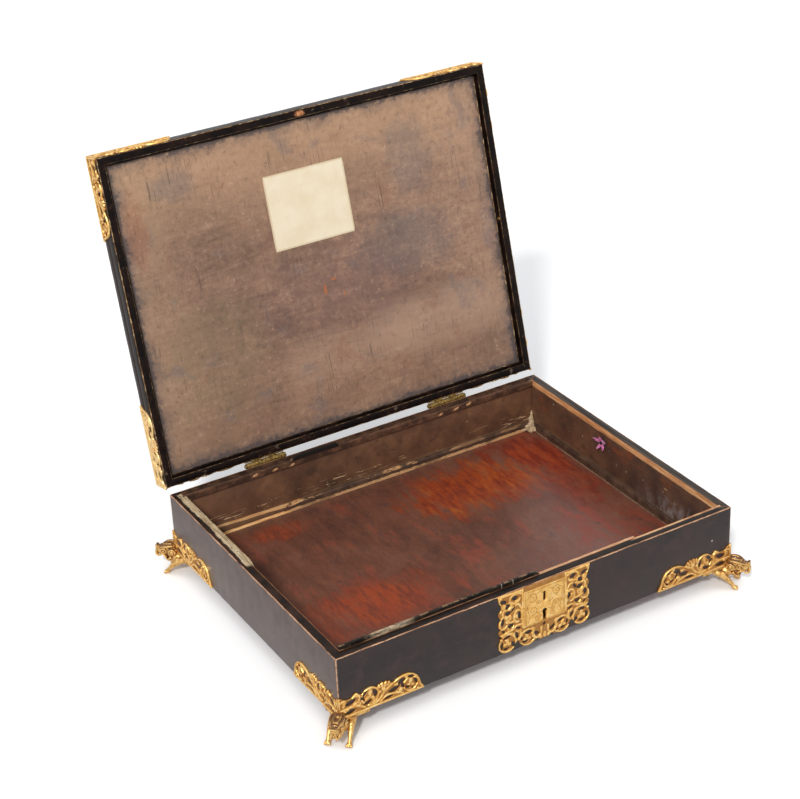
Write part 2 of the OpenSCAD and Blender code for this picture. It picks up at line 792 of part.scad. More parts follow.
module lid_back_rail() {
    color([0.15, 0.12, 0.11]) on_lid() difference() {
        mirror([0, 1, 0]) rail_blank();
        lid_nail_holes();
        at_lid_leaf_nails() nail_hole(0, rail_w - 1);
    }
}

module lid_left_rail() {
    color([0.15, 0.12, 0.11]) on_lid() difference() {
        side_rail_blank();
        lid_nail_holes();
    }
}

module lid_right_rail() {
    color([0.15, 0.12, 0.11]) on_lid() difference() {
        mirror([1, 0, 0]) side_rail_blank();
        lid_nail_holes();
        at_lid_tack() nail_hole(0, rail_w - 2);
    }
}

module lid_bead_blank() {
    translate([0, 0, z_lining - lid_bead_t])
    mitred(case_w - 2 * rail_w, case_d - 2 * rail_w, lid_bead_w, lid_bead_t);
}

module lid_side_bead_blank() {
    translate([0, 0, z_lining - lid_bead_t])
    mitred_side(case_w - 2 * rail_w, case_d - 2 * rail_w, lid_bead_w, lid_bead_t);
}

module lid_front_bead() { color([0.12, 0.1, 0.09]) on_lid() lid_bead_blank(); }
module lid_back_bead() { color([0.12, 0.1, 0.09]) on_lid() mirror([0, 1, 0]) lid_bead_blank(); }
module lid_left_bead() { color([0.12, 0.1, 0.09]) on_lid() lid_side_bead_blank(); }
module lid_right_bead() { color([0.12, 0.1, 0.09]) on_lid() mirror([1, 0, 0]) lid_side_bead_blank(); }

module paper_label() {
    color([0.93, 0.89, 0.78]) on_lid()
    translate([label_x - label_w / 2, label_y - label_d / 2, z_lining - label_t])
    cube([label_w, label_d, label_t]);
}

// Ribbon

// A tack drawn as a nail along +Y is driven into the right wall from inside
module at_ribbon_tack() {
    translate([in_w, tack_y, z_case + tack_z]) rotate([0, 0, -90]) children();
}

module at_lid_tack() {
    translate([hw - rail_w, lid_tack_y, z_rim + seam_gap + recess / 2]) rotate([0, 0, -90]) children();
}

module tack(fitting, grip) {
    rotate([-90, 0, 0]) {
        translate([0, 0, -fitting - 0.7]) cylinder(r = tack_r, h = 0.7);
        translate([0, 0, -fitting]) cylinder(r = nail_r, h = fitting + grip);
    }
}

module ribbon_tack() {
    color([0.25, 0.18, 0.2]) at_case() at_ribbon_tack() tack(scrap_t, nail_grip);
}

module lid_tack() {
    color([0.72, 0.55, 0.3]) on_lid() at_lid_tack() tack(0, rail_w - 2);
}

// What is left of the stay ribbon: a small torn cross of silk under the tack
module ribbon_scrap() {
    s = scrap_size / 2;
    color([0.7, 0.35, 0.6]) at_case() at_ribbon_tack() difference() {
        rotate([90, 0, 0]) linear_extrude(scrap_t)
        polygon([
            [-0.5 * s, s], [0, 0.5 * s], [0.4 * s, s], [0.6 * s, 0.1 * s], [s, -0.5 * s],
            [0.3 * s, -0.5 * s], [0, -s], [-0.3 * s, -0.4 * s], [-s, -0.2 * s], [-0.5 * s, 0.2 * s]]);
        nail_hole(scrap_t + 1, 2);
    }
}

floor_board();
front_wall();
back_wall();
left_wall();
right_wall();
front_bead();
back_bead();
left_bead();
right_bead();
front_lip();
left_lip();
back_lip();
case_mount(false, false);  // case_mount_fl
case_mount(true, false);  // case_mount_fr
case_mount(false, true);  // case_mount_bl
case_mount(true, true);  // case_mount_br
foot(false, false);  // foot_fl
foot(true, false);  // foot_fr
foot(false, true);  // foot_bl
foot(true, true);  // foot_br
foot_screws();
lock_plate();
lock_case();
lock_cap();
lock_bolt();
key_post();
bolt_spring();
case_leaf(-hinge_x);  // case_leaf_left
case_leaf(hinge_x);  // case_leaf_right
hinge_pin(-hinge_x);  // hinge_pin_left
hinge_pin(hinge_x);  // hinge_pin_right
case_hinge_nails();
case_mount_nails();
lock_plate_nails();
ribbon_scrap();
ribbon_tack();
lid_board();
lid_lining();
lid_front_rail();
lid_back_rail();
lid_left_rail();
lid_right_rail();
lid_front_bead();
lid_back_bead();
lid_left_bead();
lid_right_bead();
lid_mount(false, false);  // lid_mount_fl
lid_mount(true, false);  // lid_mount_fr
lid_mount(false, true);  // lid_mount_bl
lid_mount(true, true);  // lid_mount_br
lid_leaf(-hinge_x);  // lid_leaf_left
lid_leaf(hinge_x);  // lid_leaf_right
lid_hinge_nails();
lid_mount_nails();
paper_label();
lid_tack();
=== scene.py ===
# %% [markdown]
# # A lacquered document box, modelled in Blender
# The box is a shallow wooden case with a hinged lid. Black and red lacquer covers the wood, and
# openwork gilt mounts, a lock plate and four cast feet dress it. It is old: the inner lips are
# mostly broken away, and the lacquer is rubbed to bare wood along its edges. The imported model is
# loaded first as a fixed frame, so that every piece made here sits where the drawing puts it.

# %% Load the frame
import bpy, json, math
import numpy as np
from mathutils import Matrix, Vector, noise


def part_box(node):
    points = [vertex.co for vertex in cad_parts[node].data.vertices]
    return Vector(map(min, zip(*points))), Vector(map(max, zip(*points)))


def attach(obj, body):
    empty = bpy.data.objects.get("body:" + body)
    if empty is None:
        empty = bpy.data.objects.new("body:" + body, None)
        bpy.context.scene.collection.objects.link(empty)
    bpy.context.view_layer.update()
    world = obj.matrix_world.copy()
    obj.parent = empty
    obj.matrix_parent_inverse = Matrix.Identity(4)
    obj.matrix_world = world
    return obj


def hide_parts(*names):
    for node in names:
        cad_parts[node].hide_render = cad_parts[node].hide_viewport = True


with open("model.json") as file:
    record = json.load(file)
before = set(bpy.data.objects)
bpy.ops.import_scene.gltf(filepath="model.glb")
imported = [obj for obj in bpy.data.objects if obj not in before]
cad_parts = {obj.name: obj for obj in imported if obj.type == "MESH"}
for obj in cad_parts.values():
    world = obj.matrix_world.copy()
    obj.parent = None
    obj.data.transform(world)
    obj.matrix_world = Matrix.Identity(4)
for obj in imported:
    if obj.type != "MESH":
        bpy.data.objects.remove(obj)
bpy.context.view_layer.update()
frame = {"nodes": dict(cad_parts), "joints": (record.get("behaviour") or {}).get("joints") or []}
bpy.ops.object.select_all(action="DESELECT")
noise.seed_set(7)
MM = 0.001
WALL, RAIL, LIP, LID_BEAD = 9.2, 7.5, 2.3, 2.8
MOUNT_T, MOUNT_H, LEG, SIDE_LEG, FOOT_H = 1.3, 22.4, 84.0, 80.0, 21.0
floor_low, floor_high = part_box("floor_board")
wall_low, wall_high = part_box("front_wall")
CASE_Y = (floor_low.y + floor_high.y) / 2
BASE = wall_low.z
HW, HD, WALL_H = wall_high.x / MM, (CASE_Y - wall_low.y) / MM, (wall_high.z - BASE) / MM
IN_W, IN_D = HW - WALL, HD - WALL
hinge_joint = next(j for j in frame["joints"] if j["name"] == "lid_hinge")
HINGE, OPEN = Vector(hinge_joint["pos_m"]), math.radians(hinge_joint["range_deg"][1])
SEAM, LID_H, RECESS, LID_BOARD = 0.3, 23.0, 5.6, 10.0
LID_TOP = WALL_H + SEAM + LID_H
print("case", [round(v, 1) for v in (2 * HW, 2 * HD, WALL_H)], "mm, middle at y", round(CASE_Y / MM, 2))

# %% [markdown]
# ## Camera
# The box is seen from its front left and a little above, through a long lens. The lens, place and
# turn come from the straight edges of the real box.

# %% Camera
FOCAL_LENGTH, PICTURE_WIDTH, SENSOR = 1998.8, 800, 36.0
camera_data = bpy.data.cameras.new("camera")
camera_data.sensor_width, camera_data.lens = SENSOR, FOCAL_LENGTH / PICTURE_WIDTH * SENSOR
camera_data.clip_start, camera_data.clip_end = 0.1, 60
camera = bpy.data.objects.new("camera", camera_data)
right = Vector((0.8553944, -0.5163112, -0.0415102))
up = Vector((0.2788683, 0.3915123, 0.8768983))
back = right.cross(up)
turn = Matrix((right, up, back)).transposed().to_4x4()
camera.matrix_world = Matrix.Translation((-0.8284339, -1.4140571, 1.0659973)) @ turn
bpy.context.scene.collection.objects.link(camera)
bpy.context.scene.camera = camera
bpy.context.scene.view_settings.view_transform = "Standard"
print("lens", round(camera_data.lens, 1), "mm")

# %% [markdown]
# ## Writing finishes as sums
# A worn finish is many layers: a ground colour, clouds of wear, scratches, dust and bare edges.
# Each layer is a mask from 0 to 1 times a colour, so the small class below lets a mask be written
# as a sum. Its places are in millimetres from the middle of the case and its underside. For pieces
# of the lid the same numbers are used, turned back to where the closed lid would be.

# %% Shader helper
def srgb(r, g, b):
    """A colour as a painter picks it from a screen, turned into light."""
    shares = (v / 255 for v in (r, g, b))
    return tuple(v / 12.92 if v <= 0.04045 else ((v + 0.055) / 1.055) ** 2.4 for v in shares)

class Wire:
    """A socket of a finish, so that a sum of masks is written as a sum."""
    def __init__(self, finish, socket):
        self.finish, self.socket = finish, socket
    def math(self, operation, first, second=0.0):
        return self.finish.node("ShaderNodeMath", {"operation": operation}, {0: first, 1: second})
    def __add__(self, other):
        return self.math("ADD", self, other)
    def __sub__(self, other):
        return self.math("SUBTRACT", self, other)
    def __rsub__(self, other):
        return self.math("SUBTRACT", other, self)
    def __mul__(self, other):
        return self.math("MULTIPLY", self, other)
    def __truediv__(self, other):
        return self.math("DIVIDE", self, other)
    __radd__, __rmul__ = __add__, __mul__
    def size(self):
        return self.math("ABSOLUTE", self)
    def least(self, other):
        return self.math("MINIMUM", self, other)
    def most(self, other):
        return self.math("MAXIMUM", self, other)
    def rise(self, low, high):
        """0 below low, 1 above high, and a smooth step between them. It falls if low is above high."""
        if low > high:
            return 1.0 - self.rise(high, low)
        smooth = {"interpolation_type": "SMOOTHSTEP"}
        return self.finish.node("ShaderNodeMapRange", smooth, {0: self, 1: low, 2: high})

class Layers:
    """The nodes of a material or of the sky, made one by one with their settings and inputs."""
    def __init__(self, tree):
        self.tree = tree
        tree.nodes.clear()
    def node(self, kind, settings={}, values={}, out=0):
        made = self.tree.nodes.new(kind)
        for key, value in settings.items():
            if key == "stops":
                while len(made.color_ramp.elements) < len(value):
                    made.color_ramp.elements.new(0.5)
                for element, (spot, colour) in zip(made.color_ramp.elements, value):
                    element.position, element.color = spot, srgb(*colour) + (1,)
            else:
                setattr(made, key, value)
        for key, value in values.items():
            if isinstance(value, Wire):
                self.tree.links.new(value.socket, made.inputs[key])
            else:
                made.inputs[key].default_value = value
        return Wire(self, made.outputs[out])
    def show(self, wire, output):
        self.tree.links.new(wire.socket, self.tree.nodes.new(output).inputs["Surface"])
    def mix(self, mask, low, high):
        """low where the mask is 0, high where it is 1. Colours are as on a screen, from 0 to 255."""
        low, high = (c if isinstance(c, Wire) else srgb(*c) + (1.0,) for c in (low, high))
        return self.node("ShaderNodeMix", {"data_type": "RGBA"}, {0: mask, 6: low, 7: high}, out=2)

class Finish(Layers):
    """One material, with places in millimetres and helpers for its layers."""
    def __init__(self, name, lid=False, **fixed):
        self.material = bpy.data.materials.new(name)
        self.material.use_nodes = True
        super().__init__(self.material.node_tree)
        shine = self.node("ShaderNodeBsdfPrincipled")
        self.shader = shine.socket.node
        self.show(shine, "ShaderNodeOutputMaterial")
        for key, value in fixed.items():
            self.shader.inputs[key.replace("_", " ")].default_value = value
        shift, spin = Vector((0, -CASE_Y, -BASE)) / MM, 0.0
        if lid:
            spin = OPEN
            shift += (HINGE - Matrix.Rotation(OPEN, 3, "X") @ HINGE) / MM
        where = self.node("ShaderNodeTexCoord", out="Object")
        values = {"Vector": where, "Location": shift, "Rotation": (spin, 0, 0), "Scale": (1000, 1000, 1000)}
        self.place = self.node("ShaderNodeMapping", {}, values)
        split = self.node("ShaderNodeSeparateXYZ", {}, {0: self.place})
        self.x, self.y, self.z = (Wire(self, socket) for socket in split.socket.node.outputs)
    def lay(self, mask, colour):
        """Lays a colour over the tone so far, where the mask is 1."""
        self.tone = self.mix(mask, self.tone, colour)
    def inward(self, inset=0.0):
        """How far a place lies inside the case's upright faces, once these are moved in by inset."""
        return (HW - inset - self.x.size()).least(HD - inset - self.y.size())
    def stretched(self, x, y, z):
        """Places scaled along each axis, for grain and streaks."""
        return self.node("ShaderNodeMapping", {}, {"Vector": self.place, "Scale": (x, y, z)})
    def cloud(self, size, detail=4.0, rough=0.55, where=None, twist=0.0, seed=0):
        """Soft noise around 0.5 whose spots are about size millimetres. Each seed is another noise."""
        where = where or self.place
        if seed:
            shift = (seed * 371, seed * 237, seed * 519)
            where = self.node("ShaderNodeMapping", {}, {"Vector": where, "Location": shift})
        values = {"Vector": where, "Scale": 1.0 / size, "Detail": detail, "Roughness": rough,
                  "Distortion": twist}
        return self.node("ShaderNodeTexNoise", {}, values)
    def spot(self, x, y, wide, long, ragged):
        """1 in the middle of an oval on the floor or lid, 0 well outside it. ragged is a noise."""
        across, along = (self.x - x) / wide, (self.y - y) / long
        return (across * across + along * along + ragged).rise(1.6, 0.0)
    def cells(self, size, where=None):
        return self.node("ShaderNodeTexVoronoi", {}, {"Vector": where or self.place, "Scale": 1.0 / size})
    def ramp(self, value, *stops):
        return self.node("ShaderNodeValToRGB", {"stops": stops}, {0: value})
    def relief(self, height, depth, strength):
        """A bump from a height between 0 and 1 that stands for depth millimetres."""
        return self.node("ShaderNodeBump", {},
                         {"Height": height, "Distance": depth * MM, "Strength": strength})
    def paint(self, **layers):
        """Links each wire to its input of the shader, and sets each plain value there."""
        for key, value in layers.items():
            socket = self.shader.inputs[key.replace("_", " ")]
            if isinstance(value, Wire):
                self.tree.links.new(value.socket, socket)
            else:
                socket.default_value = tuple(value) + (1.0,) if isinstance(value, tuple) else value
        return self.material

print("shader helpers ready; a middle grey of the screen is", round(srgb(128, 128, 128)[0], 3), "in light")

# %% [markdown]
# ## Light
# An even pale sky does most of the lighting, as a studio tent does. Two suns from the left, a wide
# soft one and a narrow bright one, give the shadows their direction. What the camera sees of the sky,
# straight or in a gloss, is plain white.

# %% Light
toward_box = Vector((0.51, 0.53, -0.67))
for name, energy, spread in (("window", 0.32, 50), ("bright pane", 1.58, 6)):
    sun_data = bpy.data.lights.new(name, "SUN")
    sun_data.energy, sun_data.angle, sun_data.color = energy, math.radians(spread), (1.0, 0.98, 0.945)
    sun = bpy.data.objects.new(name, sun_data)
    sun.rotation_euler = toward_box.to_track_quat("-Z", "Y").to_euler()
    bpy.context.scene.collection.objects.link(sun)
world = bpy.data.worlds.new("tent")
bpy.context.scene.world = world
world.use_nodes = True
sky = Layers(world.node_tree)
seen = sky.node("ShaderNodeLightPath", out="Is Camera Ray")
for ray in ("Is Glossy Ray", "Is Transmission Ray"):
    seen = seen.most(sky.node("ShaderNodeLightPath", out=ray))
colours = {0: seen, 6: (0.515, 0.525, 0.54, 1), 7: (1, 1, 1, 1)}
tent_colour = sky.node("ShaderNodeMix", {"data_type": "RGBA"}, colours, out=2)
glow = sky.node("ShaderNodeBackground", {}, {"Color": tent_colour})
sky.show(glow, "ShaderNodeOutputWorld")
print("suns and sky", len(sky.tree.nodes), "nodes in the sky")

# %% [markdown]
# ## Black lacquer, outside
# Black lacquer is never quite black. It is a deep brown with a soft gloss, dulled by fine scratches
# and handling. Where two faces meet, hands and dusters have rubbed it through to an orange brown.
# The distance to the nearest edge of the case comes from the place alone: it is the second smallest
# of the distances to the faces.

# %% Lacquer outside
def edge_distance(f, low, high):
    """Distance to the nearest edge of the upright faces and top of the case or lid."""
    side, end = HW - f.x.size(), HD - f.y.size()
    top, foot = high - f.z, f.z - low
    best = side.most(end)
    for pair in (side.most(top), end.most(top), side.most(foot), end.most(foot)):
        best = best.least(pair)
    return best

def outer_lacquer(name, lid, low, high, shine):
    f = Finish(name, lid, IOR=1.5, Specular_IOR_Level=shine)
    haze = f.cloud(70, 5, 0.6)
    blot = f.cloud(16, 5, 0.62, seed=1)
    grain = f.cloud(3.0, 5, 0.65, f.stretched(0.08, 0.08, 1.0))
    f.tone = f.mix(haze.rise(0.35, 0.68), (27, 16, 14), (46, 29, 26))
    f.lay(blot.rise(0.5, 0.72) * 0.6, (60, 38, 35))
    f.lay(grain.rise(0.5, 0.75) * 0.3, (56, 41, 34))
    if not lid:
        # Painted reflection: the outer face of the left wall is painted a paler brown grey, in streaks that
        # run down, as if it caught the light.
        left_sheen_runs = f.cloud(5.0, 5, 0.64, f.stretched(1.0, 1.0, 0.16), 0.2, seed=4)
        left_wall_sheen = f.x.rise(-208.0, -209.0) * (0.72 + (blot - 0.5) * 1.5 + (left_sheen_runs - 0.5) * 0.35)
        f.lay(left_wall_sheen, (96, 78, 73))
        chip = (f.x - 188.7).size().most((f.z - 33.1).size()) + (blot - 0.5) * 2.0
        chip = chip.rise(1.3, 0.6) * f.y.rise(-150, -158)
        f.lay(chip, (205, 196, 182))
    specks = f.cells(9.0).rise(0.055, 0.03) * f.cloud(30).rise(0.52, 0.6)
    f.lay(specks * 0.5, (130, 104, 84))
    lines = f.cloud(1.2, 2, 0.5, f.stretched(0.02, 0.02, 0.6), 0.4)
    scratch = lines.rise(0.67, 0.71) * f.cloud(24).rise(0.52, 0.64)
    f.lay(scratch * 0.25, (120, 96, 80))
    edge = edge_distance(f, low, high)
    hard = f.cloud(22, 4, 0.6, seed=2).rise(0.36, 0.6)
    rub = (edge + (f.cloud(5, 4) - 0.5) * 1.6).rise(1.35, 0.35)
    bare = (edge + (f.cloud(3.4, 5, 0.66, seed=3) - 0.5) * 1.9).rise(0.95, 0.4) * (0.35 + hard * 0.65)
    f.lay(rub * 0.7, (84, 52, 38))
    f.lay(bare, f.mix(hard, (170, 116, 84), (236, 186, 146)))
    gloss = 0.34 + (haze - 0.5) * 0.22 + (blot - 0.5) * 0.12 + scratch * 0.2 + rub * 0.2
    bumps = f.cloud(16, 3) * 0.6 + grain * 0.25 - scratch * 0.15 - bare * 0.3
    return f.paint(Base_Color=f.tone, Roughness=gloss, Normal=f.relief(bumps, 0.12, 0.5))

case_outside = outer_lacquer("black lacquer, case", False, -40.0, WALL_H, 0.5)
lid_outside = outer_lacquer("black lacquer, lid", True, WALL_H + SEAM, LID_TOP, 0.1)
print(case_outside.name, lid_outside.name)

# %% [markdown]
# ## Lacquer on the rim
# The rim takes the most wear. Along the back half of the left wall the lip has torn away and left a
# pale, rubbed strip, and everywhere the inner edge of the rim shows a thin line of bare wood.

# %% Lacquer on the rim
def rim_lacquer():
    f = Finish("rubbed lacquer on the rim", IOR=1.5, Specular_IOR_Level=0.22)
    haze = f.cloud(22, 5, 0.6)
    f.tone = f.mix(haze.rise(0.38, 0.68), (18, 13, 11), (52, 34, 27))
    ragged = (f.cloud(3.2, 5, 0.65) - 0.5) * 1.5
    inside = (f.x.size() - IN_W).most(f.y.size() - IN_D)
    outside = f.inward()
    streak = f.cloud(1.3, 4, 0.6, f.stretched(1.0, 0.05, 1.0))
    left_back = f.x.rise(-199.0, -200.0) * (f.y + ragged * 3.0).rise(5.0, 10.0)
    wide = f.cloud(26, 5, 0.66, f.stretched(1.0, 0.6, 1.0), seed=4)
    torn = left_back * (inside + ragged * 1.4 - (wide - 0.5) * 11.0).rise(5.4, 3.8)
    pale = f.ramp(streak * 0.7 + haze * 0.3, (0.34, (70, 52, 38)), (0.42, (156, 130, 100)),
                  (0.52, (204, 182, 148)), (0.66, (236, 220, 190)))
    f.lay(torn, pale)
    flake = left_back * (streak * 0.5 + f.cloud(4, 5, 0.7, seed=5) * 0.5).rise(0.57, 0.62)
    f.lay(flake * 0.8, (40, 30, 24))
    right_side = f.x.rise(199.0, 200.0)
    dusty = f.mix(f.cloud(3, 4, 0.6, f.stretched(1.0, 0.04, 1.0)).rise(0.4, 0.7), (40, 33, 29), (96, 86, 76))
    f.lay(right_side * 0.75, dusty)
    back = f.y.rise(150.0, 151.0) * f.x.size().rise(201.0, 200.0)
    f.lay(back * 0.85, f.mix(f.cloud(9, 5, 0.6, seed=2).rise(0.36, 0.66), (46, 31, 24), (92, 64, 47)))
    f.lay((inside + ragged * 0.35).rise(0.95, 0.3) * 0.85 * (1.0 - left_back) * (1.0 - back), (190, 132, 92))
    bare_line = (inside + ragged * 0.5).rise(2.9, 2.2) * f.y.rise(-151.0, -151.4) * f.x.rise(98, 106)
    f.lay(bare_line, f.mix(haze.rise(0.4, 0.6), (196, 136, 92), (244, 194, 142)))
    shoulder = (outside + ragged * 0.8).rise(1.25, 0.4) * f.cloud(15, 4, seed=6).rise(0.3, 0.52)
    f.lay(shoulder * 0.9, (206, 154, 118))
    return f.paint(Base_Color=f.tone, Roughness=0.5 + torn * 0.25,
                   Normal=f.relief(haze * 0.5 + streak * torn, 0.2, 0.6))

rim_finish = rim_lacquer()
print(rim_finish.name)

# %% [markdown]
# ## Lacquer inside the case
# The inner walls are brown rather than black, stained and dusty, with scuffs that follow the
# boards. A band of bare orange wood just under the right rim shows where a lip was glued.

# %% Lacquer inside
def inner_lacquer():
    f = Finish("brown lacquer inside", IOR=1.48, Specular_IOR_Level=0.4)
    along = f.stretched(0.16, 0.16, 1.0)
    right_side, back = f.x.rise(195.0, 199.0), f.y.rise(146.0, 150.0)
    stain = f.cloud(34, 6, 0.62)
    blot = f.cloud(9, 5, 0.6)
    f.tone = f.ramp(stain, (0.3, (68, 47, 37)), (0.48, (100, 69, 50)), (0.62, (120, 84, 60)),
                    (0.8, (140, 102, 74)))
    f.lay(blot.rise(0.55, 0.72) * 0.55, (54, 38, 31))
    f.lay(right_side * (0.1 + f.y.rise(110, -60) * 0.35 + (blot - 0.5) * 0.3), (50, 42, 44))
    f.lay(back * (f.x + (stain - 0.5) * 60).rise(-90, -190) * 0.35, (142, 100, 76))
    red = right_side * f.cloud(14, 5, 0.66, f.stretched(1, 0.4, 1), seed=3).rise(0.54, 0.66)
    red = red * f.z.rise(30, 46)
    f.lay(red * 0.8, (122, 66, 40))
    streak = f.cloud(2.2, 5, 0.62, along)
    f.lay(streak.rise(0.58, 0.78) * 0.4, (140, 102, 74))
    # Painted sheen: a grey white reflection is painted low on the front of the right wall, in upright
    # streaks.
    sheen = right_side * (f.y + (blot - 0.5) * 60).rise(-20, -110) * f.z.rise(44, 16)
    sheen_streaks = f.cloud(4, 5, 0.65, f.stretched(1, 0.5, 0.25)).rise(0.4, 0.66)
    f.lay(sheen * sheen_streaks * 0.85, (164, 160, 160))
    flecks = f.cells(7.0, f.stretched(0.22, 0.22, 1.0)).rise(0.11, 0.06) * f.cloud(26, 3).rise(0.53, 0.6)
    f.lay(flecks * 0.9, (205, 165, 118))
    splinter = f.cloud(1.15, 3, 0.62, f.stretched(0.05, 0.05, 1.0), seed=7).rise(0.575, 0.61)
    low = back * (f.z + (stain - 0.5) * 14).rise(15, 17) * (f.z + (stain - 0.5) * 14).rise(29, 24)
    gate = f.cloud(18, 4, 0.6, f.stretched(0.5, 1, 0.6), seed=8).rise(0.44, 0.54)
    f.lay(low * splinter * gate, (232, 194, 150))
    white = f.cells(11.0).rise(0.075, 0.05) * right_side * f.z.rise(12, 20)
    white = white * f.cloud(22, 3, seed=4).rise(0.5, 0.58)
    f.lay(white, (214, 206, 198))
    foot = (f.z + (f.cloud(4, 5, 0.65, along, seed=2) - 0.5) * 5).rise(18.0, 15.5)
    f.lay(foot * 0.3, (150, 122, 94))
    middle = 15.6 + (f.x + 165.0) * -0.03
    scar = (f.z + (f.cloud(6, 5, 0.66, f.stretched(0.3, 1, 1), seed=2) - 0.5) * 3.4 - middle).size()
    scar = (scar - (f.x + 165.0) * 0.009).rise(1.75, 1.2) * (f.x + blot * 6).rise(-174, -170)
    scar = scar * (f.x + blot * 10).rise(-66, -74) * back
    fibre = f.cloud(1.0, 4, 0.6, f.stretched(0.06, 1, 1))
    f.lay(scar, f.mix(fibre.rise(0.38, 0.6), (214, 150, 92), (255, 210, 152)))
    ragged = (f.cloud(4.2, 5, 0.65, f.stretched(1, 0.35, 1)) - 0.5) * 4.0
    band = right_side * (f.z + ragged * 0.55).rise(56.2, 56.9)
    grainy = f.cloud(1.6, 4, 0.6, f.stretched(1, 0.06, 1))
    wood = f.ramp(grainy * 0.75 + stain * 0.25, (0.32, (150, 92, 54)), (0.5, (206, 146, 96)),
                  (0.68, (242, 196, 146)))
    f.lay(band, wood)
    return f.paint(Base_Color=f.tone, Roughness=0.52 + (blot - 0.5) * 0.3 + band * 0.2 - sheen * 0.12,
                   Normal=f.relief(blot * 0.6 + streak * 0.35 - band * 0.4 - splinter * 0.2, 0.25, 0.55))

inside_finish = inner_lacquer()
print(inside_finish.name)

# %% [markdown]
# ## Red lacquer on the floor
# The floor is the best kept surface: a glossy red brown that glows orange where the light comes
# through the thin lacquer, with fine ripples from the brush that run across the box.

# %% Red lacquer
def floor_lacquer():
    f = Finish("red lacquer on the floor", IOR=1.5)
    long = f.stretched(1.0, 0.3, 1.0)
    big = f.cloud(62, 5, 0.56, twist=0.4)
    small = f.cloud(10, 6, 0.66, long, 0.3)
    fine = f.cloud(1.7, 4, 0.62, f.stretched(0.9, 0.35, 1.0), seed=1)
    weave = f.cloud(1.5, 3, 0.6, f.stretched(0.3, 1.0, 1.0), seed=2)
    stroke = f.cloud(4.6, 5, 0.64, f.stretched(1.0, 0.22, 1.0), seed=5)
    ragged = (small - 0.5) * 5.0 + (big - 0.5) * 4.0 + (stroke - 0.5) * 2.0
    f.tone = f.ramp(big * 0.5 + small * 0.38 + weave * 0.12, (0.36, (74, 46, 40)), (0.47, (98, 60, 47)),
                  (0.56, (112, 70, 54)), (0.68, (126, 84, 66)))
    flush = (f.cloud(30, 6, 0.66, long, 0.5, seed=3) * 0.6 + small * 0.4).rise(0.52, 0.62)
    side_glow = f.spot(160, -70, 80, 90, ragged)
    f.lay(flush * 0.45 + side_glow * (small.rise(0.4, 0.62) * 0.8 + 0.1), (146, 60, 44))
    # Painted sheen: a pinkish grey reflection is painted on the right front of the floor.
    floor_sheen = f.spot(120, -60, 60, 40, ragged) * small.rise(0.56, 0.44)
    f.lay(floor_sheen * 0.35, (132, 92, 80))
    bruise = f.cloud(15, 5, 0.66, seed=4).rise(0.56, 0.68)
    f.lay(bruise * 0.5, (78, 54, 54))
    ember = f.ramp(stroke * 0.6 + big * 0.4, (0.38, (124, 46, 26)), (0.5, (156, 64, 22)),
                   (0.62, (176, 92, 26)))
    f.lay(f.spot(96, 86, 84, 42, ragged) * 0.92, ember)
    corner = f.spot(168, 112, 44, 40, ragged).most(f.spot(176, 50, 26, 60, ragged) * 0.7)
    f.lay(corner * 0.8, f.mix(stroke.rise(0.42, 0.6), (124, 42, 28), (158, 60, 28)))
    glow = f.mix((stroke * 0.7 + small * 0.3).rise(0.42, 0.58), (122, 56, 38), (164, 66, 30))
    f.lay((f.spot(-112, -34, 70, 36, ragged).most(f.spot(-118, 122, 34, 14, ragged) * 0.7)) * 0.9, glow)
    f.lay(f.spot(-30, -70, 90, 40, ragged) * small.rise(0.45, 0.6) * 0.6, (146, 62, 38))
    brush = fine * 0.4 + weave * 0.25 + stroke * 0.35
    f.lay(brush.rise(0.5, 0.64) * 0.2, (166, 100, 72))
    f.lay(brush.rise(0.5, 0.38) * 0.24, (62, 38, 34))
    rim = f.inward(WALL)
    # The floor is darker and duller within a few millimetres of the beads.
    edge_darkening = (rim + (f.cloud(9, 5) - 0.5) * 12).rise(11.0, 3.0)
    f.lay(edge_darkening * 0.3, (88, 64, 50))
    dust = f.cells(5.0).rise(0.045, 0.02) * f.cloud(34).rise(0.5, 0.62)
    f.lay(dust * 0.8, (206, 164, 132))
    gloss = 0.36 + (f.cloud(30, 4) - 0.5) * 0.22 + (small - 0.5) * 0.14 + edge_darkening * 0.2
    return f.paint(Base_Color=f.tone, Roughness=gloss,
                   Normal=f.relief(fine * 0.25 + weave * 0.15 + f.cloud(26, 3) * 0.9, 0.12, 0.35))

floor_finish = floor_lacquer()
print(floor_finish.name)
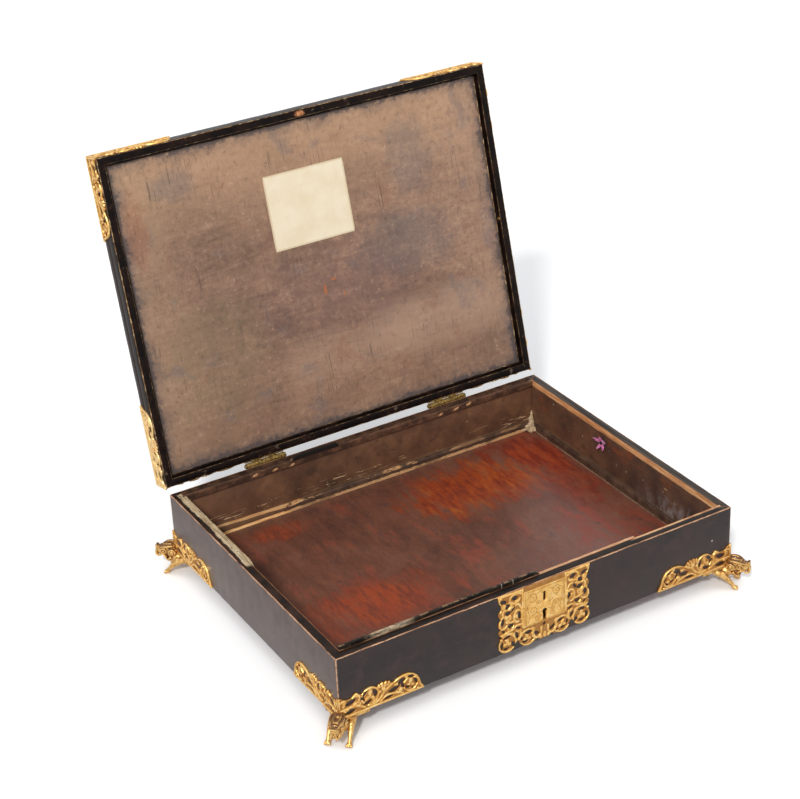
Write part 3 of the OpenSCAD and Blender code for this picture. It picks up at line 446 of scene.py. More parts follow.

# %% [markdown]
# ## The faded lining of the lid
# The inner face of the lid has lost its gloss and faded to a brown grey, with darker clouds, ring
# marks and fine cracks that follow the board. It is darker along its rails and in its corners, partly
# grime and partly painted shade.

# %% Faded lining
def lining_lacquer():
    f = Finish("faded lacquer in the lid", lid=True, IOR=1.46, Specular_IOR_Level=0.4)
    big = f.cloud(120, 5, 0.6, twist=0.5)
    mid = f.cloud(34, 6, 0.68, twist=0.3)
    fine = f.cloud(5.0, 7, 0.72)
    grain = f.cloud(1.5, 5, 0.66, f.stretched(1.0, 0.10, 1.0), 0.2, seed=1)
    wipe = f.cloud(7.0, 6, 0.66, f.stretched(0.16, 1.0, 1.0), 0.6, seed=6)
    ragged = (mid - 0.5) * 3.0 + (fine - 0.5) * 1.6
    f.tone = f.ramp(big * 0.38 + mid * 0.26 + fine * 0.22 + wipe * 0.14, (0.37, (98, 75, 63)),
                    (0.45, (128, 99, 82)), (0.54, (154, 120, 99)), (0.66, (182, 147, 121)))
    front = (f.y + (mid - 0.5) * 70).rise(-30, -150)
    f.lay(front * 0.5, (202, 162, 126))
    left = (f.x + (mid - 0.5) * 70).rise(-130, -185)
    f.lay(left * 0.28, (186, 154, 122))
    right = (f.x + (mid - 0.5) * 60).rise(150, 190)
    f.lay(right * 0.18, (190, 156, 130))
    hazy = f.spot(116, 80, 100, 30, ragged).most(f.spot(-10, 84, 50, 24, ragged) * 0.6)
    f.lay(hazy * 0.5, (192, 159, 135))
    back_fade = (f.y + (mid - 0.5) * 90).rise(60, 150)
    f.lay(back_fade * 0.3, (134, 102, 78))
    olive = f.spot(-130, 60, 50, 70, ragged)
    f.lay(olive * 0.35, (150, 128, 98))
    blue = f.cloud(46, 6, 0.66, twist=0.6, seed=2).rise(0.55, 0.68)
    f.lay(blue * 0.5, (120, 108, 106))
    smudge = f.spot(112, -88, 26, 40, ragged).most(f.spot(96, -6, 60, 34, ragged))
    smudge = smudge.most(f.spot(-140, -118, 22, 16, ragged))
    f.lay(smudge * 0.45, (112, 104, 102))
    red = f.cloud(38, 6, 0.68, twist=0.6, seed=3).rise(0.56, 0.70)
    f.lay(red * 0.4, (144, 98, 76))
    blush = f.spot(-186, -84, 13, 36, ragged)
    f.lay(blush * 0.5, (150, 94, 68))
    plum = f.spot(20, 20, 90, 44, ragged)
    f.lay(plum * 0.35, (120, 90, 86))
    f.lay(wipe.rise(0.52, 0.7) * 0.16, (180, 150, 128))
    f.lay(wipe.rise(0.46, 0.3) * 0.16, (104, 78, 70))
    stains = f.cloud(40, 6, 0.72, twist=1.0).rise(0.57, 0.72) * f.cloud(70).rise(0.42, 0.6)
    f.lay(stains * 0.3, (92, 71, 60))
    f.lay(grain.rise(0.55, 0.72) * 0.4, (96, 72, 60))
    f.lay(fine.rise(0.56, 0.7) * 0.3, (204, 172, 144))
    f.lay(fine.rise(0.44, 0.3) * 0.4, (84, 64, 56))
    cracks = f.cloud(1.5, 3, 0.55, f.stretched(1.0, 0.03, 1.0), 0.3)
    crack = cracks.rise(0.635, 0.665) * (f.cloud(42) + left * 0.06).rise(0.46, 0.56)
    f.lay(crack * 0.5, (66, 50, 44))
    nicks = f.cloud(1.1, 2, 0.5, f.stretched(0.2, 0.8, 1.0), 0.3).rise(0.69, 0.72)
    nicks = nicks * f.cloud(30).rise(0.52, 0.6)
    f.lay(nicks * 0.3, (210, 184, 156))
    scrape = f.spot(-4, 18, 1.4, 5.0, ragged).most(f.spot(7, 10, 3.0, 1.2, ragged))
    scrape = scrape.most(f.spot(16, 27, 1.0, 3.2, ragged))
    f.lay(scrape * 0.85, (182, 106, 62))
    pits = f.cells(6.0).rise(0.07, 0.035) * f.cloud(18).rise(0.48, 0.6)
    f.lay(pits * 0.8, (60, 44, 36))
    edge = f.inward(RAIL + LID_BEAD)
    # Partly grime and partly painted shade: the lining darkens along the rails, in a broad band and in its
    # corners.
    edge_darkening = (edge + (mid - 0.5) * 16 + (fine - 0.5) * 16).rise(5.5, 0.8)
    f.lay(edge_darkening * 0.75, (56, 54, 60))
    broad_edge_darkening = (edge + (mid - 0.5) * 34 + (fine - 0.5) * 14).rise(15, 3)
    f.lay(broad_edge_darkening * 0.3, (92, 84, 84))
    corner = ((HW - f.x.size()) + (HD - f.y.size()) + (mid - 0.5) * 40).rise(44, 18)
    f.lay(corner * 0.5, (66, 60, 64))
    bumps = fine * 0.3 + mid * 0.1 + grain * 0.4 - crack * 0.5 - pits * 0.4
    return f.paint(Base_Color=f.tone, Roughness=0.6 + (mid - 0.5) * 0.25,
                   Normal=f.relief(bumps, 0.14, 0.4))

lining_finish = lining_lacquer()
print(lining_finish.name)

# %% [markdown]
# ## Black lacquer of the lid's rails and beads
# The narrow strips of the lid are nearly black. Their arrises, the sharp corners of the wood, are
# rubbed bare in broken lines, so a mask that follows each arris is mixed in. Where the hasp sat, the
# front rail is chipped.

# %% Black lacquer of rails and beads
def edge_lacquer(name, arris, chips=()):
    """Near black, with rubbed lines where arris, a mask of the finish, says so, and a few chips."""
    f = Finish(name, lid=True, IOR=1.5, Specular_IOR_Level=0.1)
    haze = f.cloud(14, 5, 0.62)
    f.tone = f.mix(haze.rise(0.38, 0.68), (12, 7, 6), (34, 20, 15))
    spots = f.cloud(7, 5, 0.66, twist=0.4).rise(0.62, 0.7)
    f.lay(spots * 0.35, (104, 74, 52))
    dash = f.cloud(1.6, 4, 0.62, f.stretched(0.12, 0.12, 1.0), seed=5).rise(0.62, 0.67)
    dash = dash * f.cloud(20, 3, seed=6).rise(0.48, 0.58)
    f.lay(dash * 0.5, (130, 108, 92))
    line = arris(f)
    f.lay(line * 0.9, f.mix(f.cloud(6, 4, seed=7).rise(0.45, 0.6), (150, 112, 74), (228, 192, 146)))
    chip = haze * 0.0
    for x, y, wide, long in chips:
        chip = chip.most(f.spot(x, y, wide, long, (f.cloud(2.4, 5, 0.7, seed=8) - 0.5) * 2.6))
    f.lay(chip, f.mix(f.cloud(1.4, 4, seed=9).rise(0.4, 0.6), (176, 106, 66), (224, 164, 116)))
    return f.paint(Base_Color=f.tone, Roughness=0.42 + (haze - 0.5) * 0.3 + line * 0.25 + chip * 0.3,
                   Normal=f.relief(haze + spots * 0.4 - chip * 0.5, 0.2, 0.6))

def worn(f, distance, width):
    """A broken line where a distance is smaller than width."""
    rough = (f.cloud(3.5, 5, 0.66) - 0.5) * 1.6
    gate = f.cloud(17, 4, 0.6).rise(0.42, 0.55)
    return (distance + rough).rise(width, width * 0.4) * (0.25 + gate * 0.75)

def rail_arris(f):
    inner = f.inward(RAIL).size()
    outer = f.inward()
    seam = f.z - WALL_H - SEAM
    return (worn(f, inner.most(seam), 0.6) * 0.4).most(worn(f, outer.most(seam), 0.9) * 0.8)

def bead_arris(f):
    inner = f.inward(RAIL + LID_BEAD).size()
    return worn(f, inner, 0.6) * (0.3 + f.x.rise(150, 190) * 0.6)

HASP_CHIP = (0.5, -156.4, 5.2, 2.6)
rail_finish = edge_lacquer("black lacquer, lid rails", rail_arris, [HASP_CHIP])
bead_finish = edge_lacquer("black lacquer, lid beads", bead_arris)
print(rail_finish.name, bead_finish.name)

# %% [markdown]
# ## Bare wood and black lips
# Where a lip broke away, the wood is raw and splintered, with its fibres along the wall. What still
# stands is black, with bare wood at the break.

# %% Bare wood
def bare_wood():
    f = Finish("bare wood, sides", IOR=1.45)
    fibre = f.cloud(1.1, 5, 0.65, f.stretched(1, 0.06, 1), 0.2)
    f.tone = f.mix(fibre.rise(0.34, 0.66), (140, 112, 80), (222, 200, 160))
    f.lay(f.cloud(6, 4).rise(0.58, 0.72) * 0.6, (92, 66, 48))
    return f.paint(Base_Color=f.tone, Roughness=0.8, Normal=f.relief(fibre, 0.35, 0.8))

def lip_lacquer():
    """Black lip strips that show bare wood where they are broken short."""
    f = Finish("black lacquer, lips", IOR=1.5, Specular_IOR_Level=0.3)
    haze = f.cloud(11, 5, 0.62)
    fleck = f.cloud(2.6, 6, 0.7, f.stretched(0.3, 1, 1), seed=1)
    f.tone = f.mix(haze.rise(0.36, 0.68), (16, 12, 10), (46, 36, 28))
    f.lay(fleck.rise(0.56, 0.66) * 0.5, (104, 90, 72))
    worn_patch = (f.x + (fleck - 0.5) * 30).rise(-176, -160) * (f.x + (fleck - 0.5) * 34).rise(-124, -138)
    bare = f.ramp(fleck, (0.36, (92, 78, 64)), (0.48, (166, 150, 128)), (0.6, (228, 200, 164)))
    f.lay(worn_patch * 0.9, bare)
    top = (f.z + (f.cloud(2.6, 4) - 0.5) * 0.5).rise(WALL_H + 3.75, WALL_H + 4.0)
    f.lay(top * f.cloud(9, seed=5).rise(0.5, 0.62) * 0.5, (186, 150, 112))
    stub = (f.x + (f.cloud(3, 4) - 0.5) * 5).rise(1.5, 3.0) * f.z.rise(WALL_H - 1.2, WALL_H - 0.2)
    fibre = f.cloud(1.1, 4, 0.65, f.stretched(0.06, 1, 1))
    f.lay(stub, f.mix(fibre.rise(0.34, 0.66), (196, 140, 96), (244, 200, 160)))
    cuts = ((f.x + 38).size()).least((f.x + 26).size()).rise(0.5, 0.2) * f.z.rise(WALL_H, WALL_H + 0.5)
    f.lay(cuts * 0.7, (190, 180, 160))
    root = (f.z + (fleck - 0.5) * 0.8).rise(WALL_H + 0.7, WALL_H + 0.25) * f.x.rise(3, 0)
    f.lay(root * f.cloud(24, 3, seed=3).rise(0.42, 0.55) * 0.7, (176, 138, 108))
    return f.paint(Base_Color=f.tone, Roughness=0.45 + stub * 0.35,
                   Normal=f.relief(haze * 0.6 + fibre * stub, 0.2, 0.6))

raw_wood = bare_wood()
lip_finish = lip_lacquer()
print(raw_wood.name, lip_finish.name)

# %% [markdown]
# ## Gilding
# The mounts are cast brass with worn gilding: bright yellow on what stands proud, and in the hollows a
# redder brown that is partly polish and dirt that stay there and partly painted shade. The openwork
# carries an attribute, proud, with the height of its relief. On nails and feet, the pointiness of the
# mesh tells ridges from hollows.

# %% Gilding
def gilding(name, lid, openwork):
    f = Finish(name, lid, Metallic=0.92)
    mottle = f.cloud(4.0, 5, 0.62)
    if openwork:
        height = f.node("ShaderNodeAttribute", {"attribute_name": "proud"}, out="Fac")
        proud = (height + (mottle - 0.5) * 0.3).rise(0.05, 0.4)
    else:
        ridge = f.node("ShaderNodeNewGeometry", out="Pointiness")
        proud = (ridge + (mottle - 0.5) * 0.03).rise(0.4, 0.5)
    f.tone = f.ramp(mottle, (0.34, (222, 168, 90)), (0.5, (246, 196, 114)), (0.66, (255, 220, 150)))
    # Old dirt and painted shade: the hollows are a darker, redder brown.
    f.lay((1.0 - proud) * (0.75 if openwork else 0.5), (148, 92, 44))
    if lid and openwork:
        # Painted light: the left mounts of the lid are painted paler, as if more brightly lit.
        pale = f.y.rise(40, 100) * f.x.rise(-209, -210)
        f.lay(pale * 0.6, (255, 224, 164))
    tarnish = f.cloud(11, 4, 0.6).rise(0.56, 0.72)
    f.lay(tarnish * 0.35, (206, 146, 84))
    if not lid:
        f.lay(f.x.rise(100, 150) * 0.22, (176, 116, 58))
    return f.paint(Base_Color=f.tone, Roughness=0.34 + (1.0 - proud) * 0.25 + tarnish * 0.12,
                   Normal=f.relief(f.cloud(1.3, 4, 0.6), 0.08, 0.5))

gilt = gilding("worn gilding", lid=False, openwork=True)
lid_gilt = gilding("worn gilding, lid", lid=True, openwork=True)
nail_gilt = gilding("worn gilding, nails", lid=False, openwork=False)
lid_nail_gilt = gilding("worn gilding, lid nails", lid=True, openwork=False)

def foot_gilding():
    """Gilding of the beasts: dark brown hollows of old dirt and painted shade, darker upward faces at the top
    of the head, and a dull red mouth.
    """
    f = Finish("worn gilding, feet", Metallic=0.9)
    out, over = f.x.size() - HW, f.y.size() - HD
    diagonal = math.sqrt(0.5)
    ahead, aside, high = (out + over) * diagonal, ((out - over) * diagonal).size(), f.z + FOOT_H
    up = f.node("ShaderNodeSeparateXYZ", {}, {0: f.node("ShaderNodeTexCoord", out="Normal")}, out=2)
    mottle = f.cloud(3.0, 5, 0.64)
    proud = (f.node("ShaderNodeNewGeometry", out="Pointiness") + (mottle - 0.5) * 0.04).rise(0.44, 0.54)
    f.tone = f.ramp(mottle, (0.34, (202, 152, 84)), (0.5, (232, 186, 112)), (0.66, (248, 208, 140)))
    # Old dirt and painted shade: the hollows are dark brown.
    f.lay((1.0 - proud) * 0.95, (106, 62, 36))
    # Darker on the upward faces at the top of the head.
    top_darkening = (up + (mottle - 0.5) * 1.4).rise(0.3, 0.9) * (high + ahead * 0.2).rise(19, 25)
    top_darkening = top_darkening * f.cloud(5, 4, 0.6, seed=1).rise(0.24, 0.44)
    f.lay(top_darkening * 0.85, (98, 70, 62))
    mouth = ahead.rise(7.0, 8.5) * ahead.rise(17.8, 16.8) * aside.rise(3.1, 2.3)
    mouth = mouth * high.rise(11.0, 12.2) * high.rise(16.4, 15.6)
    f.lay(mouth * 0.9, (96, 30, 26))
    return f.paint(Base_Color=f.tone, Roughness=0.36 + (1.0 - proud) * 0.22 + top_darkening * 0.2,
                   Normal=f.relief(f.cloud(1.1, 4, 0.6), 0.08, 0.5))

foot_gilt = foot_gilding()

def small_metal(name, light, dark, metal, rough):
    f = Finish(name, Metallic=metal)
    mottle = f.cloud(1.6, 4, 0.6)
    return f.paint(Base_Color=f.mix(mottle.rise(0.35, 0.65), dark, light),
                   Roughness=rough + (mottle - 0.5) * 0.2)

engraved_line = small_metal("engraved line", (150, 96, 40), (96, 58, 26), 0.6, 0.6)
old_brass = small_metal("old brass, hinges", (168, 138, 78), (84, 64, 36), 0.85, 0.55)
dull_brass = small_metal("dull brass", (150, 122, 72), (96, 76, 44), 1.0, 0.45)
dark_steel = small_metal("dark steel", (96, 90, 84), (52, 47, 44), 1.0, 0.5)
print("metals:", [m.name for m in (gilt, lid_gilt, foot_gilt, engraved_line, old_brass, dull_brass,
                                   dark_steel)])

# %% [markdown]
# ## Floor beads and the back lip
# Beads and back lip share the brown of the inner walls. Where they split off, the fibres of the wood
# show as pale, torn bands.

# %% Finishes of the floor beads and the back lip
def bead_on_floor():
    """Brown black beads with a lighter line at their foot, of dust and a painted highlight, and raw wood
    where one broke away.
    """
    f = Finish("brown lacquer, floor beads", IOR=1.48, Specular_IOR_Level=0.3)
    haze = f.cloud(12, 5, 0.62)
    back = f.y.rise(140, 146)
    f.tone = f.mix(haze.rise(0.36, 0.68), (62, 44, 35), (92, 67, 51))
    inner = f.inward(WALL)
    fibre = f.cloud(1.0, 5, 0.65, f.stretched(0.05, 1, 1), 0.2)
    wood = f.ramp(fibre, (0.34, (160, 108, 68)), (0.5, (216, 162, 108)), (0.66, (246, 208, 162)))
    patchy = f.cloud(12, 5, 0.66, f.stretched(0.4, 1, 1), seed=1)
    split = (f.z + (f.cloud(7, 5, 0.66, f.stretched(0.35, 1, 1), seed=2) - 0.5) * 5.0).rise(12.6, 13.4)
    f.lay(back * split * patchy.rise(0.5, 0.58) * (0.25 + f.x.rise(120, 60) * 0.55), wood)
    # Dust and painted highlight: a lighter line runs along the foot of each bead, grey tan on the front, left
    # and right beads and tan on the back bead.
    dusty = f.z + (f.cloud(3, 4) - 0.5) * 2.2 - back * (0.6 + patchy * 2.4)
    foot = dusty.rise(8.2, 7.2) * inner.rise(1.8, 2.6)
    f.lay(foot * (0.35 + patchy.rise(0.4, 0.56) * 0.6), f.mix(back, (160, 132, 106), (216, 168, 120)))
    ragged = (f.cloud(5, 5, 0.65) - 0.5) * 8
    gone = (f.x + ragged).rise(-168, -165) * (f.x + ragged).rise(-88, -92) * back
    bed = (f.z + (fibre - 0.5) * 1.6).rise(9.4, 8.4) * (f.y + ragged * 0.1).rise(150.4, 149.6)
    f.lay(gone, f.mix(bed, (76, 48, 36), f.mix(fibre.rise(0.38, 0.62), (214, 148, 88), (255, 208, 146))))
    return f.paint(Base_Color=f.tone, Roughness=0.55 + gone * 0.25,
                   Normal=f.relief(haze + fibre * gone, 0.25, 0.6))

CHIPS = ((-124.0, 59.9), (-102.8, 58.8), (-83.8, 58.0), (87.6, 58.8), (106.4, 59.6), (121.6, 60.4))

def back_lip_lacquer():
    """The back lip: the brown of the wall, black where it still stands, worn to the wood in places."""
    f = Finish("black lacquer, back lip", IOR=1.5, Specular_IOR_Level=0.3)
    haze = f.cloud(11, 5, 0.62)
    f.tone = f.mix(haze.rise(0.36, 0.68), (62, 43, 34), (112, 78, 58))
    standing = (f.x + 57).size().rise(27.0, 25.0) * (f.z + (haze - 0.5) * 2).rise(WALL_H - 1.5, WALL_H - 0.5)
    f.lay(standing, (20, 15, 12))
    broken = (f.z + (f.cloud(3, 4) - 0.5) * 1.4).rise(WALL_H + 0.1, WALL_H + 0.7)
    fibre = f.cloud(1.1, 4, 0.65, f.stretched(0.06, 1, 1))
    gate = f.cloud(30, 4, 0.6, f.stretched(0.5, 1, 1), seed=4).rise(0.52, 0.6)
    wood = f.mix(fibre.rise(0.34, 0.66), (128, 88, 58), (196, 146, 100))
    f.lay(broken * gate * (1.0 - standing), wood)
    nick = haze * 0.0
    for x, z in CHIPS:
        across = (f.x - x) / 3.4
        up = (f.z - z - (f.x - x) * 0.24) / 1.3
        rough = (f.cloud(1.6, 4, 0.7, seed=9) - 0.5) * 2.2
        nick = nick.most((across * across + up * up + rough).rise(1.0, 0.7))
    f.lay(nick, f.mix(f.cloud(0.9, 3).rise(0.4, 0.6), (186, 128, 84), (238, 192, 142)))
    return f.paint(Base_Color=f.tone, Roughness=0.5 + broken * 0.25,
                   Normal=f.relief(haze + fibre * broken, 0.22, 0.6))

floor_bead_finish = bead_on_floor()
back_lip_finish = back_lip_lacquer()
print(floor_bead_finish.name, back_lip_finish.name)

# %% [markdown]
# ## Modelling helpers
# Each board starts as a cube at its real size and place. Its ends are mitred in edit mode, its long
# edges are divided so that they can wander a little as hand-planed wood does, and a small bevel
# takes the machine sharpness off. Pieces of the lid are made closed and then swung open.

# %% Modelling helpers
TOUCH = 1e-5

def at(x, y, z):
    """A point of the case in metres, from millimetres off its middle and its underside."""
    return Vector((x * MM, CASE_Y + y * MM, BASE + z * MM))

def pick(*pieces):
    bpy.ops.object.select_all(action="DESELECT")
    for piece in pieces:
        piece.select_set(True)
    bpy.context.view_layer.objects.active = pieces[0]

def settle(piece):
    """Moves a piece's place, turn and size into its mesh."""
    pick(piece)
    bpy.ops.object.transform_apply(location=True, rotation=True, scale=True)
    return piece

def apply_modifiers(piece):
    pick(piece)
    for modifier in list(piece.modifiers):
        bpy.ops.object.modifier_apply(modifier=modifier.name)
    return piece

def edit(piece, mode, chosen, *steps):
    """Chooses vertices, edges or faces by a test in code, then runs operators on them."""
    pick(piece)
    bpy.ops.object.mode_set(mode="EDIT")
    bpy.ops.mesh.select_mode(type=mode)
    bpy.ops.mesh.select_all(action="DESELECT")
    bpy.ops.object.mode_set(mode="OBJECT")
    items = {"VERT": piece.data.vertices, "EDGE": piece.data.edges, "FACE": piece.data.polygons}[mode]
    for item in items:
        item.select = chosen(item)
    bpy.ops.object.mode_set(mode="EDIT")
    for step in steps:
        step()
    bpy.ops.object.mode_set(mode="OBJECT")

def block(name, low, high):
    a, b = at(*low), at(*high)
    bpy.ops.mesh.primitive_cube_add(size=1, location=(a + b) / 2, scale=b - a)
    piece = bpy.context.object
    piece.name = piece.data.name = name
    return settle(piece)

def divide(piece, axis, cuts):
    """Divides the edges that run along an axis."""
    points = piece.data.vertices
    def runs_along(edge):
        d = points[edge.vertices[0]].co - points[edge.vertices[1]].co
        return abs(d[axis]) > 0.9 * d.length and abs(d[axis]) > 0.25 * max(piece.dimensions)
    edit(piece, "EDGE", runs_along, lambda: bpy.ops.mesh.subdivide(number_cuts=cuts))

def mitred_board(name, way, outset, width, low_z, high_z, cuts):
    """A board along one side, outset inside the case's faces. way points outwards, as (x, y)."""
    sx, sy = way
    w, d = HW - outset, HD - outset
    if sy:
        near, far = sorted((sy * d, sy * (d - width)))
        low, high = (-w, near, low_z), (w, far, high_z)
    else:
        near, far = sorted((sx * w, sx * (w - width)))
        low, high = (near, -d, low_z), (far, d, high_z)
    piece = block(name, low, high)
    axis = 0 if sy else 1
    across, middle = 1 - axis, (0, CASE_Y)
    inner_face = middle[across] + (sx + sy) * ((d if sy else w) - width) * MM
    for sign in (-1, 1):
        end = middle[axis] + sign * (w, d)[axis] * MM
        move = [0, 0, 0]
        move[axis] = -sign * width * MM
        def at_inner_corner(v):
            return abs(v.co[across] - inner_face) < TOUCH and abs(v.co[axis] - end) < TOUCH
        edit(piece, "VERT", at_inner_corner, lambda: bpy.ops.transform.translate(value=move))
    divide(piece, axis, cuts)
    return piece

def turn_out(piece):
    """Turns all faces outwards."""
    edit(piece, "FACE", lambda f: True, lambda: bpy.ops.mesh.normals_make_consistent(inside=False))

def round_off(piece, angle):
    """Shades a piece smooth, except where its faces meet at more than angle degrees."""
    pick(piece)
    bpy.ops.object.shade_smooth_by_angle(angle=math.radians(angle))

def join(name, pieces):
    """Makes one piece of several."""
    pick(*pieces)
    bpy.ops.object.join()
    piece = bpy.context.object
    piece.name = piece.data.name = name
    return piece

def soften(piece, width, segments=2, angle=35):
    """Takes the sharpness off the edges."""
    bevel = piece.modifiers.new("soft edges", "BEVEL")
    bevel.width, bevel.segments = width * MM, segments
    bevel.limit_method, bevel.angle_limit = "ANGLE", math.radians(angle)
    apply_modifiers(piece)
    round_off(piece, 40)

def wander(piece, amount, size, seed):
    """Moves the vertices a little, by the same noise for points that are close together."""
    for v in piece.data.vertices:
        v.co += noise.noise_vector(v.co / (size * MM) + Vector((seed, seed, 0))) * amount * MM

open_lid = Matrix.Translation(HINGE) @ Matrix.Rotation(-OPEN, 4, "X") @ Matrix.Translation(-HINGE)

def swing(piece):
    """Opens a piece of the lid that was made closed."""
    piece.matrix_world = open_lid @ piece.matrix_world
    settle(piece)

def finish_node(node, material):
    """Gives its finish to a piece that keeps its drawn shape."""
    frame["nodes"][node].data.materials.clear()
    frame["nodes"][node].data.materials.append(material)

def dress(piece, body, slot, *materials):
    """Gives a finished piece its materials and its body. slot is not used."""
    piece.data.materials.clear()
    for material in materials:
        piece.data.materials.append(material)
    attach(piece, body)

def choose_faces(piece, rule):
    """Gives each face the material whose number the rule returns for its normal."""
    for face in piece.data.polygons:
        face.material_index = rule(face.normal)

print("helpers ready; the lid opens by", round(math.degrees(OPEN), 1), "degrees")

# %% [markdown]
# ## Case walls
# Four boards meet in mitres. Each one stands for its CAD wall. The front wall is cut through for the
# keyhole and for the slot that takes the hasp's staple.

# %% Case walls
def wall_faces(piece, way):
    """Rim finish on top, the black outside and the brown inside."""
    def rule(n):
        if n.z > 0.6:
            return 1
        return 0 if n.x * way[0] + n.y * way[1] > -0.3 else 2
    choose_faces(piece, rule)

def cut(piece, cutter):
    """Cuts one shape out of another."""
    tool = piece.modifiers.new("cut", "BOOLEAN")
    tool.operation, tool.object, tool.solver = "DIFFERENCE", cutter, "MANIFOLD"
    apply_modifiers(piece)
    bpy.data.objects.remove(cutter, do_unlink=True)
    print("cut", piece.name, len(piece.data.polygons))

def rod(centre, radius, length):
    """A rod along Y, to cut with."""
    bpy.ops.mesh.primitive_cylinder_add(radius=radius * MM, depth=length * MM, vertices=40,
                                        location=at(*centre), rotation=(math.radians(90), 0, 0))
    return settle(bpy.context.object)

LOCK_TOP = WALL_H - 5
STAPLE_Z, KEY_Z = LOCK_TOP - 11.3, LOCK_TOP - 27
STAPLE_HALF_W, STAPLE_HALF_H = 1.1, 4.75
KEY_R, BIT_HALF_W, BIT_H = 2.3, 1.4, 9.5
LOCK_HALF_W, LOCK_H, LOCK_DEPTH = 22, 38, 6.8
SIDES = {"front": (0, -1), "back": (0, 1), "left": (-1, 0), "right": (1, 0)}
walls = {}
for side, way in SIDES.items():
    piece = mitred_board(side + "_wall_board", way, 0, WALL, 0, WALL_H, 90)
    soften(piece, 0.5)
    wander(piece, amount=0.16, size=9, seed=3.0)
    if side == "front":
        face, room = -HD, -HD + WALL - LOCK_DEPTH
        cut(piece, block("cutter", (-STAPLE_HALF_W, face - 3, STAPLE_Z - STAPLE_HALF_H),
                         (STAPLE_HALF_W, face + 5, STAPLE_Z + STAPLE_HALF_H)))
        cut(piece, rod((0, face, KEY_Z), KEY_R, 12))
        cut(piece, block("cutter", (-BIT_HALF_W, face - 3, KEY_Z - BIT_H), (BIT_HALF_W, face + 5, KEY_Z)))
        cut(piece, block("cutter", (-LOCK_HALF_W, room, LOCK_TOP - LOCK_H),
                         (LOCK_HALF_W, face + WALL + 1, LOCK_TOP)))
    dress(piece, "case", "black_lacquer", case_outside, rim_finish, inside_finish)
    wall_faces(piece, way)
    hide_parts(side + "_wall")
    walls[side] = len(piece.data.polygons)
finish_node("floor_board", floor_finish)
print("walls", walls)

# %% [markdown]
# ## Lips inside the rim
# A thin strip of black wood once stood inside the rim all round, and kept dust out. The left run at
# the front and a short piece at the back still stand. Elsewhere it broke off, so its top edge is a
# splintered line. Each strip is a long block divided many times, whose top follows a height that is
# set for each place.

# %% Lips
def ragged(place, size, seed=0.0):
    """Splinters: noise of a place along a board, from -1 to 1, with sharp drops."""
    coarse = noise.noise(Vector((place / size, seed, 0.3)))
    fine = noise.noise(Vector((place / size * 4.7, seed, 7.1)))
    return coarse + 0.6 * fine

def broken_strip(name, low, high, cuts, profile):
    """A strip whose top follows profile, which takes a place (x, y) and gives a height."""
    piece = block(name, low, high)
    axis = 0 if high[0] - low[0] > high[1] - low[1] else 1
    divide(piece, axis, cuts)
    top = at(0, 0, high[2]).z
    for v in piece.data.vertices:
        if v.co.z > top - TOUCH:
            x, y = v.co.x / MM, (v.co.y - CASE_Y) / MM
            v.co.z = BASE + profile(x, y) * MM
    return piece

def front_lip_top(x, y):
    if x < 0.2:
        return WALL_H + 4.0 + 0.1 * ragged(x, 9) - 2.4 * max(0.0, (x + 4.0) / 4.2) ** 2
    return WALL_H + 0.35 + 0.3 * ragged(x, 5, y)

def left_lip_top(x, y):
    fall = max(0.0, 1 - (y - 8.6) / 4)
    return WALL_H + 0.3 + 0.4 * ragged(y, 4, x) - 3.5 * fall

def back_lip_top(x, y):
    inside = abs(x + 57) - 25
    if inside < 0:
        return WALL_H + 3.9 + 0.15 * ragged(x, 6) - 1.6 * max(0.0, (inside + 3) / 3) ** 2
    return WALL_H - 0.5 + 0.4 * ragged(x, 5, y)

front_lip = broken_strip("front_lip_strip", (-IN_W, -IN_D, WALL_H - 6), (106.2, -IN_D + LIP, WALL_H + 4),
                         260, front_lip_top)
left_lip = broken_strip("left_lip_strip", (-IN_W, IN_D - LIP - 142, WALL_H - 6),
                        (-IN_W + LIP, IN_D - LIP, WALL_H + 0.7), 140, left_lip_top)
back_lip = broken_strip("back_lip_strip", (-IN_W, IN_D - LIP, WALL_H - 6), (IN_W, IN_D, WALL_H + 4), 300,
                        back_lip_top)
for piece, node, material, slot in ((front_lip, "front_lip", lip_finish, "black_lacquer"),
                                    (left_lip, "left_lip", raw_wood, "bare_wood"),
                                    (back_lip, "back_lip", back_lip_finish, "black_lacquer")):
    soften(piece, 0.18, 1, 50)
    dress(piece, "case", slot, material)
    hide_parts(node)
print("lips", len(front_lip.data.polygons), len(left_lip.data.polygons), len(back_lip.data.polygons))

# %% [markdown]
# ## Beads on the floor
# Beads run round the floor in the angle of the walls. They are square strips with one edge planed
# off. Part of the back bead broke away and left its bed of raw wood, as wide as the bead was.

# %% Beads on the floor
BEAD_T, BEAD_H, FLOOR = 3.0, 9.0, 6.0

def bead(name, low, high, inward, cuts):
    """A strip with its upper inner edge planed off. inward is the direction away from its wall."""
    piece = block(name, low, high)
    axis = 0 if inward[1] else 1
    across = 1 - axis
    sign = inward[across]
    side = max(v.co[across] * sign for v in piece.data.vertices)
    edge_top = at(0, 0, high[2]).z
    def on_top_edge(i):
        point = piece.data.vertices[i].co
        return abs(point[across] * sign - side) < TOUCH and abs(point.z - edge_top) < TOUCH
    edit(piece, "EDGE", lambda e: all(on_top_edge(i) for i in e.vertices),
         lambda: bpy.ops.mesh.bevel(offset=2.2 * MM, segments=3))
    divide(piece, axis, cuts)
    soften(piece, 0.25, 1, 50)
    wander(piece, amount=0.14, size=7, seed=5.0)
    return piece

